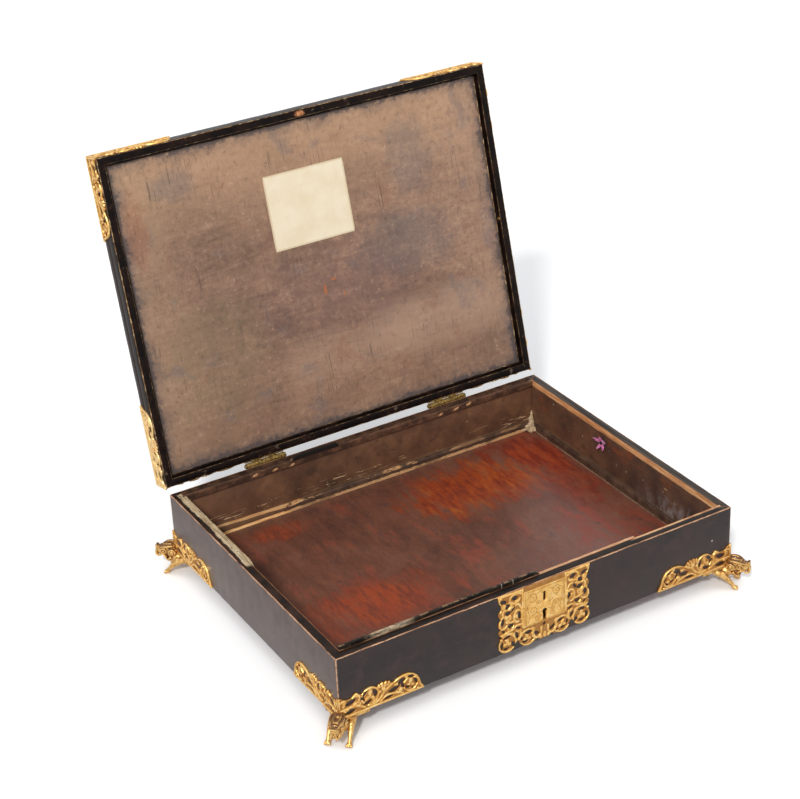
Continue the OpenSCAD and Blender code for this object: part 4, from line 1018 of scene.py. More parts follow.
BEAD_TOP, SHORT_D = FLOOR + BEAD_H, IN_D - BEAD_T
beads = {"front_bead": bead("front_bead_strip", (-IN_W, -IN_D, FLOOR), (IN_W, -SHORT_D, BEAD_TOP), (0, 1),
                            80),
         "back_bead": bead("back_bead_strip", (-IN_W, SHORT_D, FLOOR), (IN_W, IN_D, BEAD_TOP), (0, -1),
                           240),
         "left_bead": bead("left_bead_strip", (-IN_W, -SHORT_D, FLOOR), (-IN_W + BEAD_T, SHORT_D, BEAD_TOP),
                           (1, 0), 60),
         "right_bead": bead("right_bead_strip", (IN_W - BEAD_T, -SHORT_D, FLOOR), (IN_W, SHORT_D, BEAD_TOP),
                            (-1, 0), 60)}
for v in beads["back_bead"].data.vertices:
    x = v.co.x / MM
    gone = min(max((x + 166) / 3, 0), 1) * min(max((-90 - x) / 5, 0), 1)
    height = (v.co.z - BASE) / MM - FLOOR
    if height > 1.5 and gone > 0:
        lowered = 2.2 + 0.8 * ragged(x, 6) + 0.06 * height
        v.co.z = BASE + (FLOOR + height * (1 - gone) + lowered * gone) * MM
for node, piece in beads.items():
    dress(piece, "case", "black_lacquer", floor_bead_finish)
    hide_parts(node)
print("beads", {node: len(piece.data.polygons) for node, piece in beads.items()})

# %% [markdown]
# ## The lid's board, rails and beads
# The lid is a shallow tray: a top board, four mitred rails under it, a lining board between them and
# a thin black bead where they meet. It is modelled closed, above the case, and swung open at the end.

# %% Lid woodwork
LID_LOW, LINING_Z, BEAD_DROP = WALL_H + SEAM, WALL_H + SEAM + RECESS, 0.9

def lid_strip(name, node, way, outset, width, low_z, high_z, edge, material, cuts):
    """A mitred rail or bead of the lid, with its edges softened by edge."""
    piece = mitred_board(name, way, outset, width, low_z, high_z, cuts)
    soften(piece, edge)
    wander(piece, amount=0.12, size=8, seed=9.0)
    swing(piece)
    dress(piece, "lid", "black_lacquer", material)
    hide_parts(node)

for side, way in SIDES.items():
    rail, lid_bead = "lid_%s_rail" % side, "lid_%s_bead" % side
    lid_strip(rail + "_board", rail, way, 0, RAIL, LID_LOW, LID_TOP - LID_BOARD, 0.3, rail_finish, 80)
    lid_strip(lid_bead + "_strip", lid_bead, way, RAIL, LID_BEAD, LINING_Z - BEAD_DROP, LINING_Z, 0.15,
              bead_finish, 60)
top_board = block("lid_top_board", (-HW, -HD, LID_TOP - LID_BOARD), (HW, HD, LID_TOP))
divide(top_board, 0, 60)
divide(top_board, 1, 50)
soften(top_board, 0.6)
wander(top_board, amount=0.15, size=12, seed=2.0)
swing(top_board)
dress(top_board, "lid", "black_lacquer", lid_outside)
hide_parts("lid_board")
finish_node("lid_lining", lining_finish)
print("lid woodwork", len(top_board.data.polygons), "faces in the top board")

# %% [markdown]
# ## The paper label
# A sheet of paper is pasted inside the lid. It has yellowed, its edges are a little browner, and it
# has cockled slightly, so it is a fine grid with a low wave.

# %% Paper label
LABEL_X, LABEL_Y, LABEL_W, LABEL_D, LABEL_T = -4.5, -67.5, 88.0, 74.0, 0.3

def paper_finish():
    f = Finish("aged paper", lid=True, IOR=1.4)
    fibre = f.cloud(2.5, 5, 0.6)
    stain = f.cloud(18, 5, 0.6)
    f.tone = f.mix(stain.rise(0.35, 0.7), (243, 229, 201), (237, 219, 188))
    edge = (LABEL_W / 2 - (f.x - LABEL_X).size()).least(LABEL_D / 2 - (f.y - LABEL_Y).size())
    edge = edge + (fibre - 0.5) * 2.0
    f.lay(edge.rise(2.6, 0.3) * 0.5, (196, 168, 124))
    spots = f.cells(13.0).rise(0.05, 0.03) * stain.rise(0.45, 0.55)
    f.lay(spots * 0.7, (186, 150, 104))
    return f.paint(Base_Color=f.tone, Roughness=0.85, Normal=f.relief(fibre * 0.5 + stain * 0.5, 0.12, 0.5))

label_low = (LABEL_X - LABEL_W / 2, LABEL_Y - LABEL_D / 2, LINING_Z - LABEL_T)
label_high = (LABEL_X + LABEL_W / 2, LABEL_Y + LABEL_D / 2, LINING_Z)
label = block("label_sheet", label_low, label_high)
divide(label, 0, 22)
divide(label, 1, 18)
for v in label.data.vertices:
    x, y, z = v.co.x / MM, (v.co.y - CASE_Y) / MM, (v.co.z - BASE) / MM
    corner = min(x - label_low[0], label_high[0] - x) + min(y - label_low[1], label_high[1] - y)
    pull = max(0.0, 1.2 - corner) * 0.5
    wave = 0.10 * noise.noise(Vector((x / 22, y / 17, 1.0)))
    v.co.x -= pull * MM * (1 if x > LABEL_X else -1)
    v.co.z += min(0.0, wave - 0.02) * MM if z < LINING_Z - LABEL_T / 2 else 0
swing(label)
dress(label, "lid", "paper", paper_finish())
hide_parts("paper_label")
print("label", len(label.data.polygons), "faces")

# %% [markdown]
# ## Openwork mounts
# Each corner has a cast mount with two legs of pierced scrollwork: a bar along the edge, a spray at
# the corner, two rings of foliage and a row of petals between them. A casting starts as a fine grid.
# The faces outside its outline and inside its almond openings are deleted, and the points of the new
# edges slide onto the drawn lines. The sheet is extruded, and its front takes the height of the stems
# and petals. The leg is modelled once, along the front, and copied to every corner.

# %% Openwork helpers
def smooth_line(points, steps):
    """Points of a Catmull-Rom curve through the given points."""
    padded = [points[0]] + list(points) + [points[-1]]
    line = []
    for a, b, c, d in zip(padded, padded[1:], padded[2:], padded[3:]):
        for k in range(steps):
            t = k / steps
            line.append(tuple(0.5 * (2 * q + (r - p) * t + (2 * p - 5 * q + 4 * r - s) * t ** 2
                                     + (3 * q - p - 3 * r + s) * t ** 3) for p, q, r, s in zip(a, b, c, d)))
    return line + [tuple(points[-1])]

def almond(x, y, length, width, angle, bend=0.0):
    """Outline of a pierced opening: an almond along a line that turns by bend degrees."""
    turn, curve, steps = math.radians(angle), math.radians(bend), 7
    sides = ([], [])
    for k in range(steps + 1):
        t = k / steps
        s = t - 0.5
        heading = turn + curve * s
        if abs(curve) > 0.01:
            radius = length / curve
            px = x + radius * (math.sin(heading) - math.sin(turn))
            py = y - radius * (math.cos(heading) - math.cos(turn))
        else:
            px, py = x + length * s * math.cos(turn), y + length * s * math.sin(turn)
        half = width / 2 * math.sin(math.pi * t) ** 0.75
        sides[0].append((px - half * math.sin(heading), py + half * math.cos(heading)))
        sides[1].append((px + half * math.sin(heading), py - half * math.cos(heading)))
    return sides[0] + sides[1][-2:0:-1]

def ring(x, y, radius, start, end, tip):
    """A stem along an arc, with the share of its thickness that is left at its end."""
    steps, points = 12, []
    for k in range(steps + 1):
        angle = math.radians(start + (end - start) * k / steps)
        points.append((x + radius * math.cos(angle), y + radius * math.sin(angle),
                       1 - (1 - tip) * (k / steps) ** 2))
    return points

def tube(name, points, radius, resolution):
    """A tapered round bar through points (x, y, z, share of the radius)."""
    curve = bpy.data.curves.new(name, "CURVE")
    curve.dimensions, curve.bevel_depth, curve.bevel_resolution = "3D", radius * MM, resolution
    curve.use_fill_caps = True
    spline = curve.splines.new("POLY")
    spline.points.add(len(points) - 1)
    for point, (x, y, z, share) in zip(spline.points, points):
        point.co, point.radius = (x * MM, y * MM, z * MM, 1), share
    piece = bpy.data.objects.new(name, curve)
    bpy.context.scene.collection.objects.link(piece)
    pick(piece)
    bpy.ops.object.convert(target="MESH")
    return bpy.context.object

def distance_to_line(spots, line):
    """Distance of each spot to a line, and the share of the line's width at the nearest place."""
    best = np.full(len(spots), 1e9)
    width = np.ones(len(spots))
    for a, b in zip(line, line[1:]):
        start, way = np.array(a[:2]), np.array(b[:2]) - np.array(a[:2])
        t = np.clip(((spots - start) @ way) / max(way @ way, 1e-12), 0, 1)
        far = np.linalg.norm(spots - start - t[:, None] * way, axis=1)
        nearer = far < best
        best[nearer] = far[nearer]
        if len(a) > 2:
            width[nearer] = (a[2] + t * (b[2] - a[2]))[nearer]
    return best, width

def outside(spots, loop):
    """Signed distance to a closed loop: below zero inside it."""
    closed = list(loop) + [loop[0]]
    far, width = distance_to_line(spots, closed)
    inside = np.zeros(len(spots), bool)
    for (ax, ay), (bx, by) in zip(closed, closed[1:]):
        crosses = (ay > spots[:, 1]) != (by > spots[:, 1])
        where = ax + (spots[:, 1] - ay) * (bx - ax) / (by - ay if abs(by - ay) > 1e-12 else 1e-12)
        inside ^= crosses & (spots[:, 0] < where)
    return np.where(inside, -far, far)

def stem(points, radius, rise=0.75):
    """A stem on a lace casting: points (x, z) or (x, z, share of the radius)."""
    line = smooth_line([tuple(p) + ((1.0,) if len(p) == 2 else ()) for p in points], 5)
    def height(spots):
        far, width = distance_to_line(spots, line)
        return np.sqrt(np.clip(1 - (far / (radius * width)) ** 2, 0, 1)) * rise
    return height

def petal(x, z, length, width, angle, rise=0.8, vein=0.35):
    """A leaf or petal on a lace casting, with a vein along its middle."""
    turn = math.radians(angle)
    def height(spots):
        u = (spots[:, 0] - x) * math.cos(turn) + (spots[:, 1] - z) * math.sin(turn)
        v = (spots[:, 1] - z) * math.cos(turn) - (spots[:, 0] - x) * math.sin(turn)
        dome = np.sqrt(np.clip(1 - (u * 2 / length) ** 2 - (v * 2 / width) ** 2, 0, 1))
        return dome * rise * (1 - vein * np.exp(-(v / 0.35) ** 2))
    return height

CELL, SHEET_T = 0.46, MOUNT_T * 0.75

def lace(name, low, high, outline, openings, reliefs):
    """A pierced casting: X along it, Z up it, its back on Y = 0 and its front towards -Y.

    A grid loses the faces outside the outline and inside the openings. The points on the new edges
    slide onto the drawn lines, the sheet is extruded, and the front takes the height of the relief.
    """
    size = (high[0] - low[0], high[1] - low[1])
    cells = [round(side / CELL) for side in size]
    bpy.ops.mesh.primitive_grid_add(x_subdivisions=cells[0], y_subdivisions=cells[1], size=1,
                                    location=((low[0] + high[0]) / 2 * MM, (low[1] + high[1]) / 2 * MM, 0))
    bpy.ops.transform.resize(value=(size[0] * MM, size[1] * MM, 1))
    piece = settle(bpy.context.object)
    piece.name = piece.data.name = name
    def beyond(spots):
        far = outside(spots, outline)
        for opening in openings:
            far = np.maximum(far, -outside(spots, opening))
        return far
    middles = np.array([tuple(f.center)[:2] for f in piece.data.polygons]) / MM
    dropped = (beyond(middles) > 0).tolist()
    edit(piece, "FACE", lambda f: dropped[f.index], lambda: bpy.ops.mesh.delete(type="FACE"))
    spots = np.array([tuple(v.co)[:2] for v in piece.data.vertices]) / MM
    uses = {}
    for face in piece.data.polygons:
        for key in face.edge_keys:
            uses[key] = uses.get(key, 0) + 1
    rim = sorted({i for key, count in uses.items() if count == 1 for i in key})
    for turn in range(2):
        edge = spots[rim]
        far, step = beyond(edge), 0.05
        slope = np.stack([beyond(edge + (step, 0)) - far, beyond(edge + (0, step)) - far], axis=1) / step
        spots[rim] -= slope * far[:, None]
    inset = np.clip(-beyond(spots), 0, None)
    rise = np.max([height(spots) for height in reliefs], axis=0)
    front = (SHEET_T + rise) * (0.55 + 0.45 * np.sqrt(np.clip(inset / 0.55, 0, 1)))
    heights = {}
    for v, spot, f, r in zip(piece.data.vertices, spots, front, rise):
        v.co = (spot[0] * MM, 0, spot[1] * MM)
        heights[(v.co.x, v.co.z)] = (float(f), float(r))
    edit(piece, "FACE", lambda f: True,
         lambda: bpy.ops.mesh.extrude_region_move(TRANSFORM_OT_translate={"value": (0, -MM, 0)}))
    proud = piece.data.attributes.new("proud", "FLOAT", "POINT")
    for v in piece.data.vertices:
        f, r = heights[(v.co.x, v.co.z)]
        v.co.y = -f * MM if v.co.y < -0.5 * MM else 0.0
        proud.data[v.index].value = r
    turn_out(piece)
    round_off(piece, 60)
    return piece

def fuse(name, pieces, voxel, passes, keep):
    """Melts overlapping pieces into one skin, and keeps a share of its faces."""
    piece = join(name, pieces)
    melt = piece.modifiers.new("melt", "REMESH")
    melt.mode, melt.voxel_size = "VOXEL", voxel * MM
    flow = piece.modifiers.new("flow", "SMOOTH")
    flow.iterations, flow.factor = passes, 0.5
    thin = piece.modifiers.new("thin", "DECIMATE")
    thin.ratio = keep
    apply_modifiers(piece)
    pick(piece)
    bpy.ops.object.shade_smooth()
    return piece

def trim(piece, point, normal):
    """Cuts off what lies beyond a plane and closes the cut."""
    pick(piece)
    bpy.ops.object.mode_set(mode="EDIT")
    bpy.ops.mesh.select_all(action="SELECT")
    bpy.ops.mesh.bisect(plane_co=point, plane_no=normal, use_fill=True, clear_outer=True)
    bpy.ops.object.mode_set(mode="OBJECT")

def copy_piece(piece, name, matrix):
    """A copy with its own mesh, moved by a matrix. A mirrored copy has its faces turned out again."""
    pick(piece)
    bpy.ops.object.duplicate()
    made = bpy.context.object
    made.name = made.data.name = name
    made.matrix_world = matrix @ made.matrix_world
    settle(made)
    if matrix.determinant() < 0:
        turn_out(made)
    return made

print("openwork helpers ready; castings are made of cells of", CELL, "mm")

# %% Leg of a mount
leg_top = [(LEG, 0.4), (82.8, 3), (80.6, 7), (79.6, 11.5), (77, 16), (72.6, 19.6), (66, 21.6), (59, 20.4),
           (53.6, 17.6), (51.2, 18.4), (50, 20.8), (48.2, 20.6), (46.8, 21.9), (44.9, 20.6), (43, 22.2),
           (41.2, 20.8), (39.2, 21.3), (37.4, 19), (34.4, 21.4), (30, 22.2), (25.6, 21), (22.6, 18.2),
           (20, 19), (17.6, 21.4), (14.8, 20.4), (12.4, 18.2), (8, 17.8), (4.6, 19.2), (2.2, 21.2),
           (0, MOUNT_H)]
leg_outline = [(-MOUNT_T, 0), (LEG, 0)] + smooth_line(leg_top, 3) + [(-MOUNT_T, MOUNT_H)]
leg_openings = [almond(10.6, 4.6, 13, 4.2, 4, -10), almond(11.4, 13.6, 12, 5.0, 14, 24),
                almond(22.6, 13.2, 4.6, 3.2, -40), almond(25.2, 17.2, 8, 3.4, 52, -50),
                almond(35.6, 14.2, 9.5, 3.8, -78, -60), almond(28.0, 6.9, 10, 3.4, 18, 50),
                almond(24.2, 11.2, 3.4, 1.8, -70), almond(47.6, 4.2, 12, 3.0, 4, -18),
                almond(54.4, 9.9, 13, 4.8, 12, 34), almond(61.8, 15.4, 9.5, 4.8, 24, -50),
                almond(62.6, 10.6, 6.5, 3.0, -68, 20), almond(71.4, 16.6, 6.8, 3.2, -14, -40),
                almond(75.8, 10.4, 7.5, 2.8, -70, -50), almond(67.2, 7.0, 6, 2.8, -35, 50),
                almond(73.2, 5.2, 5.2, 1.8, 30, 50)]
relief = [stem([(-MOUNT_T, 1.0), (LEG / 2, 1.0), (LEG, 0.6)], 1.15, 0.7),
          stem([(-0.2, 3), (-0.2, 12), (-0.2, 21.4)], 1.1, 0.7),
          stem([(1.5, 8.6), (8, 9.0), (15, 9.0), (20, 6.8), (25, 3.4, 0.6)], 1.2),
          stem([(1.5, 17), (6, 18.4), (12, 18.4), (18, 18.8), (20.2, 15.6), (18.8, 12.0), (20.4, 9.4),
                (19.4, 7.6, 0.5)], 1.0), stem(ring(30.4, 13.2, 8.1, 215, -80, 0.55), 1.1),
          stem([(28.5, 4.2), (35, 3.8), (41.4, 8), (44, 13, 0.6)], 1.15),
          stem([(40, 3.0), (46, 6.8), (53, 6.6), (58.5, 5.0), (63, 2.4, 0.6)], 1.05),
          stem([(44, 12), (50, 15.4), (56, 18.9), (65, 20.6), (73.4, 18.4), (79.0, 12), (80.2, 5.4),
                (82.4, 1.4, 0.6)], 1.15), stem(ring(70.4, 9.6, 7.0, 150, -200, 0.5), 0.95),
          petal(30.4, 16.8, 6.6, 3.8, 80), petal(26.9, 11.6, 6.2, 3.4, 205),
          petal(32.8, 10.0, 6.4, 3.6, -50), petal(30.3, 13.1, 2.4, 2.4, 0, 1.0, 0),
          petal(70.6, 12.8, 6.4, 3.2, 82), petal(68.2, 9.0, 4.6, 2.6, 200), petal(72.6, 7.6, 4.6, 2.6, -40),
          petal(66.2, 18.2, 4.8, 3.0, 60), petal(57.2, 14.0, 8.4, 2.8, -12), petal(60.4, 7.2, 5.0, 3.8, 62),
          petal(39.2, 19.2, 5.6, 2.4, 112), petal(42.3, 19.4, 6.2, 2.4, 96),
          petal(45.5, 19.0, 6.0, 2.4, 78), petal(48.6, 18.2, 5.4, 2.3, 58),
          petal(43.6, 15.0, 4.0, 4.0, 0, 1.0, 0), petal(17.2, 19.4, 4.6, 3.8, 75),
          petal(4.6, 14.6, 8.4, 3.6, 70), petal(5.2, 7.0, 7.4, 3.0, -30), petal(15.6, 10.6, 6.4, 2.8, 28),
          petal(34.6, 6.0, 5.6, 2.8, 24)]
leg = lace("leg", (-MOUNT_T, 0), (LEG, MOUNT_H), leg_outline, leg_openings, relief)
print("mount leg", len(leg.data.polygons), "faces", [round(v / MM, 1) for v in leg.dimensions])

# %% Corner mounts
def scaled(x=1.0, y=1.0, z=1.0):
    return Matrix.Diagonal((x, y, z, 1.0))

corner = Matrix.Translation(at(-HW, -HD, 0))
swap = Matrix(((0, 1, 0, 0), (1, 0, 0, 0), (0, 0, 1, 0), (0, 0, 0, 1)))
front_leg = copy_piece(leg, "front leg", corner)
side_leg = copy_piece(leg, "side leg", corner @ swap @ scaled(SIDE_LEG / LEG))
bpy.data.objects.remove(leg, do_unlink=True)
corner_post = block("corner post", (-HW - MOUNT_T, -HD - MOUNT_T, 0), (-HW + 0.4, -HD + 0.4, MOUNT_H))
soften(corner_post, 0.5)
cut(corner_post, block("cutter", (-HW, -HD, -1), (0, 0, MOUNT_H + 1)))
mount = join("mount", (front_leg, side_leg, corner_post))
round_off(mount, 60)
about_case = Matrix.Translation((0, CASE_Y, 0))
to_lid_top = Matrix.Translation((0, 0, BASE + LID_TOP * MM))
upside_down = to_lid_top @ scaled(z=-1) @ Matrix.Translation((0, 0, -BASE))
CORNERS = {"fl": (1, 1), "fr": (-1, 1), "bl": (1, -1), "br": (-1, -1)}
to_corners = {place: about_case @ scaled(*signs) @ about_case.inverted() for place, signs in CORNERS.items()}
for place, to_corner in to_corners.items():
    on_case = copy_piece(mount, "case_mount_casting_" + place, to_corner)
    dress(on_case, "case", "gilt_brass", gilt)
    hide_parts("case_mount_" + place)
    on_lid = copy_piece(mount, "lid_mount_casting_" + place, open_lid @ upside_down @ to_corner)
    dress(on_lid, "lid", "gilt_brass", lid_gilt)
    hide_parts("lid_mount_" + place)
bpy.data.objects.remove(mount, do_unlink=True)
print("mounts", len(on_case.data.polygons), "faces each")

# %% [markdown]
# ## The lock plate
# The lock plate is pierced all round a plain square that carries the keyhole and the slot of the
# lost hasp. Its halves match. The square stands a little proud and is engraved with loose scrolls,
# which are drawn here as hair-thin dark lines sunk halfway into it.

# %% Lock plate
PLATE_W, PLATE_H, PLATE_LOW = 98.0, 61.6, 0.4
half_outline = [(0, 1.4), (4, 0.6), (7.6, 2.8), (10.4, 1.2), (14.6, 0.3), (19.4, 0), (24.2, 2), (27, 6),
                (28.6, 9.6), (31, 6.4), (34.4, 1.8), (39.4, 0.1), (44.6, 1.4), (48.2, 5.2), (48.9, 9.6),
                (47.4, 14.2), (45.2, 17.6), (47.4, 20.2), (48.6, 23.4), (46.8, 26.4), (48.8, 30),
                (48.4, 34), (46.2, 37), (48.2, 40.4), (48, 44), (45.6, 47.6), (46.2, 52), (48, 56),
                (PLATE_W / 2, PLATE_H)]

def mirrored(loop):
    """The other half, with its points in the order that closes the loop."""
    return [(-x, y) for x, y in loop][::-1]

right_side = smooth_line(half_outline, 3)
plate_outline = right_side + mirrored(right_side)
half_openings = [almond(42.9, 54.6, 8.5, 3.8, 22, -40), almond(31.0, 54.6, 7.5, 4.6, 10, 40),
                 almond(38.6, 48.4, 6.4, 4.4, -48), almond(32.8, 43.4, 8.6, 2.4, -58, 60),
                 almond(38.4, 41.2, 6.6, 4.6, 12, -40), almond(26.7, 35.2, 9.2, 3.2, 88, 70),
                 almond(44.2, 33.6, 9, 3.4, -84, -50), almond(35.6, 27.2, 6.4, 4.8, -8, 30),
                 almond(43.4, 23.6, 4.6, 2.6, 50), almond(27.8, 22.0, 6.8, 2.2, 20, -60),
                 almond(29.6, 14.8, 8.2, 3.2, 72, 40), almond(40.0, 16.6, 9.0, 3.8, -8, -70),
                 almond(45.6, 8.6, 8.2, 3.0, -86, -60), almond(33.6, 7.2, 7.2, 4.0, 62, 40),
                 almond(40.8, 4.4, 8, 2.6, 6, 70), almond(17.2, 13.6, 8.2, 4.4, 12, -60),
                 almond(8.6, 9.0, 7.6, 3.8, 40, 40), almond(20.6, 4.4, 7.6, 2.8, 10, 70),
                 almond(24.2, 9.0, 5.4, 2.2, 84, -50), almond(13.4, 4.6, 3.6, 1.8, -30)]
keyhole_z, slot_z = KEY_Z - PLATE_LOW, STAPLE_Z - PLATE_LOW
plate_openings = half_openings + [mirrored(loop) for loop in half_openings]
plate_openings.append(almond(0, keyhole_z - BIT_H - 4.6, 4.4, 3.0, 90))
half_stems = [([(22.8, 60.4), (34, 60.6), (48.4, 60.8)], 1.0), ([(23, 21), (23, 40), (23, 59)], 0.9),
              ([(47.8, 60), (46.8, 55), (45.2, 50.6), (41, 46), (36, 45.4), (34.6, 48.6), (35, 51),
                (38, 52.0, 0.5)], 1.05),
              ([(24.6, 57.4), (27, 58.8), (33, 58.6), (36.4, 55.6), (35.6, 51.4), (31, 49.8), (27.6, 51.0),
                (25.6, 53.6, 0.5)], 1.0),
              ([(24.2, 42), (28, 47.6), (34, 46.2), (41.6, 46.4), (44.2, 42.6), (42.6, 38.2), (38.4, 37.4),
                (36, 39, 0.4)], 1.05),
              ([(24.2, 30.6), (23.8, 37), (28, 41.6), (31.6, 38.6), (32.2, 33), (30, 29.4),
                (27.4, 29.4, 0.5)], 1.05),
              ([(31, 31), (37, 31.4), (40.6, 37), (45, 38.8), (47.4, 33), (46.6, 27.6), (42.2, 27.2),
                (39.8, 29.6, 0.4)], 1.05),
              ([(24, 24.9), (29.6, 25.4), (33, 23.2), (40, 21.6), (46.4, 20.2), (45.2, 18.6),
                (41.6, 20.4, 0.5)], 1.0), (ring(39.8, 10.4, 8.9, 150, -190, 0.6), 1.1),
              ([(26, 19), (25.6, 14), (28.0, 9.6), (30.6, 10.6), (32.6, 17.4), (36.6, 19.8, 0.6)], 1.05),
              (ring(18.6, 8.6, 8.0, 20, 330, 0.6), 1.05),
              ([(3.6, 13.4), (4, 7.4), (7.6, 4.2), (12.0, 7.0), (12.8, 11.6), (10.8, 15.0, 0.6)], 1.0)]
half_petals = [(39.8, 12.6, 6.2, 3.4, 70), (37.4, 9.0, 5.4, 3.2, 200), (42.8, 9.2, 5.6, 3.2, -20),
               (39.8, 10.2, 2.6, 2.6, 0), (19.2, 10.8, 5.4, 3.2, 60), (16.8, 7.2, 5.0, 3.0, 210),
               (21.2, 7.2, 4.4, 2.8, -40), (29.4, 35.2, 5.4, 3.6, 60), (29.2, 51.2, 4.4, 2.8, 20),
               (36.4, 36.0, 5.4, 3.0, 100), (42.6, 50.4, 5.2, 3.2, 60), (34.8, 50.4, 4.4, 2.6, 120),
               (39.4, 32.4, 5.0, 3.0, 30), (40.6, 38.8, 4.8, 2.8, -30), (33.4, 25.2, 4.4, 2.8, 70),
               (38.2, 25.2, 4.8, 2.8, 110), (46.6, 46.0, 3.6, 2.8, 60), (46.8, 16.4, 3.8, 2.8, 40),
               (28.8, 19.0, 4.6, 2.8, 30), (4.6, 3.8, 5.2, 3.0, 40), (12.6, 15.8, 4.0, 2.6, 20),
               (24.6, 14.0, 4.2, 2.6, 80)]
SQUARE_LOW, SQUARE_TOP, SQUARE_RISE = keyhole_z - 11.0, LOCK_TOP - PLATE_LOW, 0.75

def tablet(half_width, low, high, rise):
    """A plain square that stands proud."""
    def height(spots):
        deep = np.minimum(half_width - np.abs(spots[:, 0]), np.minimum(spots[:, 1] - low, high - spots[:, 1]))
        return np.clip(deep / 0.5, 0, 1) * rise
    return height

relief = [tablet(LOCK_HALF_W, SQUARE_LOW, SQUARE_TOP, SQUARE_RISE), petal(0, 4.6, 6.4, 3.6, 90)]
for side in (-1, 1):
    relief += [stem([(p[0] * side,) + tuple(p[1:]) for p in line], radius) for line, radius in half_stems]
    relief += [petal(x * side, z, length, width, angle if side > 0 else 180 - angle)
               for x, z, length, width, angle in half_petals]
turns = [math.radians(angle) for angle in range(-52, 233, 12)]
keyhole = [(KEY_R * math.cos(turn), keyhole_z + KEY_R * math.sin(turn)) for turn in turns]
keyhole += [(-BIT_HALF_W, keyhole_z - BIT_H), (BIT_HALF_W, keyhole_z - BIT_H)]
slot_low, slot_high = slot_z - STAPLE_HALF_H, slot_z + STAPLE_HALF_H
staple_slot = [(-STAPLE_HALF_W, slot_low), (STAPLE_HALF_W, slot_low),
               (STAPLE_HALF_W, slot_high), (-STAPLE_HALF_W, slot_high)]
lock_plate = lace("lock_plate_casting", (-PLATE_W / 2, 0), (PLATE_W / 2, PLATE_H), plate_outline,
                  plate_openings + [keyhole, staple_slot], relief)
lock_plate.matrix_world = Matrix.Translation(at(0, -HD, PLATE_LOW))
settle(lock_plate)
dress(lock_plate, "case", "gilt_brass", gilt)
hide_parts("lock_plate")
print("lock plate", len(lock_plate.data.polygons), "faces")

# %% Engraving of the lock plate
FACE_OUT = SHEET_T + SQUARE_RISE

def engraved(points):
    return tube("line", [(x, -FACE_OUT, z, 1) for x, z in smooth_line(points, 6)], 0.16, 1)

def curl(x, z, radius, start, turns, way):
    """A flat spiral that winds in, as a graver cuts it."""
    steps, points = int(10 * turns), []
    for k in range(steps + 1):
        angle = math.radians(start) + way * k / steps * turns * math.tau
        reach = radius * (1 - k / steps * 0.8)
        points.append((x + reach * math.cos(angle), z + reach * math.sin(angle)))
    return points

border = []
for inset in (1.0, 2.0):
    a, low, high = LOCK_HALF_W - inset, SQUARE_LOW + inset, SQUARE_TOP - inset
    border.append([(-a, low), (a, low), (a, high), (-a, high), (-a, low)])
lines = [tube("line", [(x, -FACE_OUT, z, 1) for x, z in loop], 0.14, 1) for loop in border]
middle = (SQUARE_LOW + SQUARE_TOP) / 2
for side in (-1, 1):
    for scroll in (curl(side * 13, middle + 9.5, 5.0, 90, 1.4, side),
                   curl(side * 12.4, middle - 3.5, 4.6, 250, 1.4, -side),
                   curl(side * 8.4, middle - 12, 3.8, 60, 1.3, side),
                   curl(side * 6.2, middle + 3, 2.6, 200, 1.2, side)):
        lines.append(engraved(scroll))
    lines.append(engraved([(side * 4, middle + 15), (side * 9, middle + 13), (side * 13, middle + 14.5),
                           (side * 18.5, middle + 10.5)]))
    lines.append(engraved([(side * 17.6, middle + 5), (side * 18.4, middle), (side * 16, middle - 8),
                           (side * 17.6, middle - 14)]))
    lines.append(engraved([(side * 3.4, middle - 6), (side * 6.6, middle - 7.6), (side * 8.4, middle - 6.4)]))
engraving = join("lock_plate_engraving", lines)
engraving.matrix_world = Matrix.Translation(at(0, -HD, PLATE_LOW))
settle(engraving)
dress(engraving, "case", "gilt_brass", engraved_line)
print("engraving", len(engraving.data.polygons), "faces")

# %% [markdown]
# ## Nails, hinges and the lock's works
# Small domed nails hold the mounts. One nail is made and copied to the places that the drawing
# gives. Hinge leaves, pins and the lock's works keep their drawn shape and get a brass or steel.

# %% Nails
def make_nail(head_radius, head_height, shank, length):
    """A nail along +Y whose head stands in front of Y = 0, domed by pulling in two inset rings."""
    bpy.ops.mesh.primitive_cylinder_add(vertices=18, radius=head_radius * MM, depth=head_height * 0.5 * MM,
                                        location=(0, 0, head_height * 0.25 * MM))
    nail = bpy.context.object
    settle(nail)
    top = head_height * 0.5 * MM
    edit(nail, "FACE", lambda f: f.center.z > top - 1e-6 and f.normal.z > 0.9,
         lambda: bpy.ops.mesh.inset(thickness=head_radius * 0.28 * MM),
         lambda: bpy.ops.transform.translate(value=(0, 0, head_height * 0.35 * MM)),
         lambda: bpy.ops.mesh.inset(thickness=head_radius * 0.36 * MM),
         lambda: bpy.ops.transform.translate(value=(0, 0, head_height * 0.15 * MM)))
    edit(nail, "FACE", lambda f: f.normal.z < -0.9,
         lambda: bpy.ops.mesh.inset(thickness=(head_radius - shank) * MM),
         lambda: bpy.ops.mesh.extrude_region_move(TRANSFORM_OT_translate={"value": (0, 0, -length * MM)}))
    nail.matrix_world = Matrix.Rotation(math.radians(90), 4, "X")
    settle(nail)
    round_off(nail, 60)
    return nail

LEG_NAILS, HEAD_OUT = [(0.09, 0.36), (0.475, 0.62), (0.92, 0.1)], MOUNT_T + 0.2
nail = make_nail(head_radius=1.3, head_height=0.7, shank=0.7, length=6)

def nail_at(x, y, z, turn):
    return Matrix.Translation(at(x, y, z)) @ Matrix.Rotation(math.radians(turn), 4, "Z")

